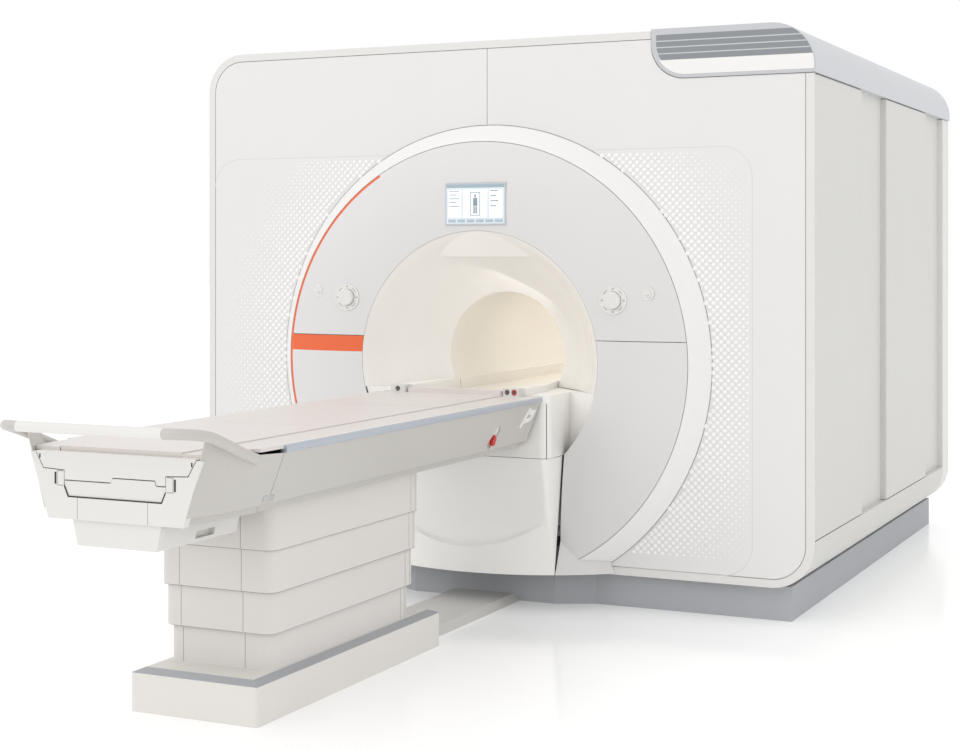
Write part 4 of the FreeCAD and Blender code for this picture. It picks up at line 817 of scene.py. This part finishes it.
def vent_left(z, margin):
    """The block's left edge at a height, moved in by the margin."""
    rise = VENT_LOW.z + VENT_LEFT_R - z
    reach = VENT_LEFT_R - margin
    round_in = VENT_LEFT_R - math.sqrt(max(0.0, reach ** 2 - rise ** 2)) if rise > 0 else margin
    return VENT_LOW.x + round_in


def vent_right(z, margin):
    """The block's right edge at a height, where the enclosure's corner rounds over."""
    rise = z - (VENT_HIGH.z - VENT_RIGHT_R)
    reach = VENT_RIGHT_R - margin
    round_in = VENT_RIGHT_R - math.sqrt(max(0.0, reach ** 2 - rise ** 2)) if rise > 0 else margin
    return VENT_HIGH.x - round_in


def vent_plate(z0, z1, margin, lift, thickness, steps=24):
    """A plate between two heights that follows the block's rounded sides."""
    begin()
    bpy.ops.mesh.primitive_grid_add(x_subdivisions=1, y_subdivisions=steps, size=1)
    plate = bpy.context.object
    for vertex in plate.data.vertices:
        z = z0 + (z1 - z0) * (vertex.co.y + 0.5)
        x = vent_right(z, VENT_RIGHT_MARGIN) if vertex.co.x > 0 else vent_left(z, margin)
        vertex.co = (x, VENT_LOW.y - lift, z)
    apply_modifier(plate, "SOLIDIFY", thickness=thickness, offset=-1)
    print("vent plate from", round(z0, 3), "to", round(z1, 3))
    return plate


# %% Dark plate, slats and the bare strip
grille_dark = panel_finish("anodised_aluminium_grille", "#8b8f93", 0.42, metallic=0.2)
slat_edge = panel_finish("polished_aluminium_slat_edges", "#c6cacd", 0.3, metallic=0.3)
bare_strip = panel_finish("pale_lacquered_bare_strip", "#edecea", 0.35)
TOP_MARGIN, GRILLE_MARGIN, STRIP_MARGIN = 0.028, 0.024, 0.016
SLAT_HALF = 2.5 * MM
grille_top = VENT_HIGH.z - TOP_MARGIN
grille = vent_plate(STRIP_TOP_Z, grille_top, GRILLE_MARGIN, 0.3 * MM, 0.3 * MM)
done(grille, "vent_grille_plate", "machine", grille_dark)
slat_gap = (grille_top - STRIP_TOP_Z) / 4
slat_heights = [STRIP_TOP_Z + slat_gap * i for i in (1, 2, 3)]
slats = [vent_plate(z - SLAT_HALF, z + SLAT_HALF, GRILLE_MARGIN, 0.9 * MM, 0.8 * MM, steps=3)
         for z in slat_heights]
done(join(slats), "vent_slat_edges", "machine", slat_edge)
strip = vent_plate(VENT_LOW.z + STRIP_MARGIN, STRIP_TOP_Z, STRIP_MARGIN, 0.9 * MM, 0.8 * MM)
done(strip, "vent_bare_strip", "machine", bare_strip)

# %% [markdown]
# ## Service details on the back
#
# Behind, the cover is made of sheets with a service hatch and a grille, held by
# quarter-turn fasteners. Seams are thin flat bars. A fastener is a low cylinder whose
# face is inset and raised, modelled once and copied.

# %% Seams and a service hatch on the back
rear_low, rear_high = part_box("rear_cover")
REAR_FACE_Y = rear_high.y
print("rear face at", round(REAR_FACE_Y, 3))


def rear_bar(x0, z0, x1, z1, width=3 * MM, depth=0.8 * MM):
    return bar((x0, REAR_FACE_Y, z0), (x1, REAR_FACE_Y, z1), width, depth, out=(0, 1, 0))


BELL_R = 0.50
z_low, z_high = rear_low.z + 0.03, rear_high.z - 0.03
rear_seams = [rear_bar(x, z_low, x, z_high) for x in (-0.82, 0.82)]
rear_seams += [rear_bar(0, BORE_Z + BELL_R + 0.06, 0, z_high), rear_bar(0, z_low, 0, BORE_Z - BELL_R - 0.06)]
rear_seams += [rear_bar(side * 0.60, BORE_Z, side * 0.818, BORE_Z) for side in (-1, 1)]
hatch = [(-1.36, 0.42), (-0.96, 0.42), (-0.96, 0.96), (-1.36, 0.96), (-1.36, 0.42)]
rear_seams += [rear_bar(a[0], a[1], b[0], b[1], 4 * MM) for a, b in zip(hatch, hatch[1:])]
done(join(rear_seams), "rear_cover_seams", "machine", seam_shadow)

# %% A grille for cooling air on the back
SLAT_PITCH = 22 * MM
grille_abs = panel_finish("moulded_grey_abs_grille", "#a3a6a8", 0.5)
SLAT_LOW_Z = 0.46
slats = []
for i in range(16):
    z = SLAT_LOW_Z + i * SLAT_PITCH
    slats.append(bar((0.96, REAR_FACE_Y, z), (1.36, REAR_FACE_Y, z), 9 * MM, 2.5 * MM,
                     out=(0, 1, 0), round_off=0.8 * MM))
done(join(slats), "rear_grille", "machine", grille_abs)

# %% Quarter-turn fasteners
fastener_zinc = panel_finish("zinc_plated_quarter_turns", "#b9bbbd", 0.35, metallic=0.7)
FASTENER_R, FASTENER_H = 11 * MM, 1.2 * MM


begin()
bpy.ops.mesh.primitive_cylinder_add(vertices=24, radius=FASTENER_R, depth=FASTENER_H)
fastener = bpy.context.object
choose(fastener, "FACE", lambda face: face.normal.z > 0.9)
bpy.ops.mesh.inset(thickness=1.5 * MM)
bpy.ops.transform.translate(value=(0, 0, 0.5 * MM))
bpy.ops.object.mode_set(mode="OBJECT")
facing_back = Vector((0, 1, 0)).to_track_quat("Z", "Y").to_matrix().to_4x4()

rear_points = [(x, z) for x in (-1.42, -0.87, 0.87, 1.42) for z in (z_low + 0.08, 1.15, z_high - 0.08)]
rear_points += [(x, z) for x in (-0.77, 0.77) for z in (z_low + 0.08, z_high - 0.08)]
fasteners = []
for x, z in rear_points:
    copy = fastener.copy()
    copy.data = fastener.data.copy()
    copy.data.transform(Matrix.Translation((x, REAR_FACE_Y + FASTENER_H / 2, z)) @ facing_back)
    bpy.context.scene.collection.objects.link(copy)
    fasteners.append(copy)
done(join(fasteners), "rear_fasteners", "machine", fastener_zinc, 30)
bpy.data.objects.remove(fastener)

# %% [markdown]
# ## Room and light
#
# A white cyclorama: a pale glossy floor that runs to the horizon, a white sky all round
# and one large soft sun from the front left. A warm lamp inside the bore stands in for
# the patient light, which makes the bore glow.

# %% Floor, sky and lamps
begin()
bpy.ops.mesh.primitive_plane_add(size=120, location=(0, 0, -0.0005))
floor = bpy.context.object
floor.name = "studio_floor"
floor_material, tree, shader, place = new_material("polished_white_studio_floor")
shader.inputs["Base Color"].default_value = linear("#fbfbfb")
shader.inputs["Roughness"].default_value = 0.16
shader.inputs["Specular IOR Level"].default_value = 0.35
shader.inputs["Emission Color"].default_value = linear("#ffffff")
shader.inputs["Emission Strength"].default_value = 0.14
floor.data.materials.append(floor_material)

world = bpy.data.worlds.new("white_studio")
world.use_nodes = True
world.node_tree.nodes["Background"].inputs["Color"].default_value = linear("#ffffff")
world.node_tree.nodes["Background"].inputs["Strength"].default_value = 1.0
bpy.context.scene.world = world
bpy.context.scene.view_settings.view_transform = "Standard"


def lamp(name, kind, place, aim, energy, colour="#ffffff", **settings):
    light = bpy.data.lights.new(name, kind)
    light.energy = energy
    light.color = linear(colour)[:3]
    for key, value in settings.items():
        setattr(light, key, value)
    obj = bpy.data.objects.new(name, light)
    bpy.context.scene.collection.objects.link(obj)
    obj.location = place
    obj.rotation_euler = (Vector(aim) - Vector(place)).to_track_quat("-Z", "Y").to_euler()
    return obj


lamp("front_left_sun", "SUN", (-6, -9, 9), (0, 0, 0.5), 0.45, angle=math.radians(60))
lamp("bore_lamp", "AREA", (0, 0, BORE_Z + 0.28), (0, 0, 0), 3.4, "#fffaf2", shape="RECTANGLE",
     size=0.3, size_y=1.9)
lamp("entry_lamp", "AREA", (0.1, -1.45, 1.45), (-0.2, -1.35, 0.9), 0.3, "#fffaf2", size=0.3)
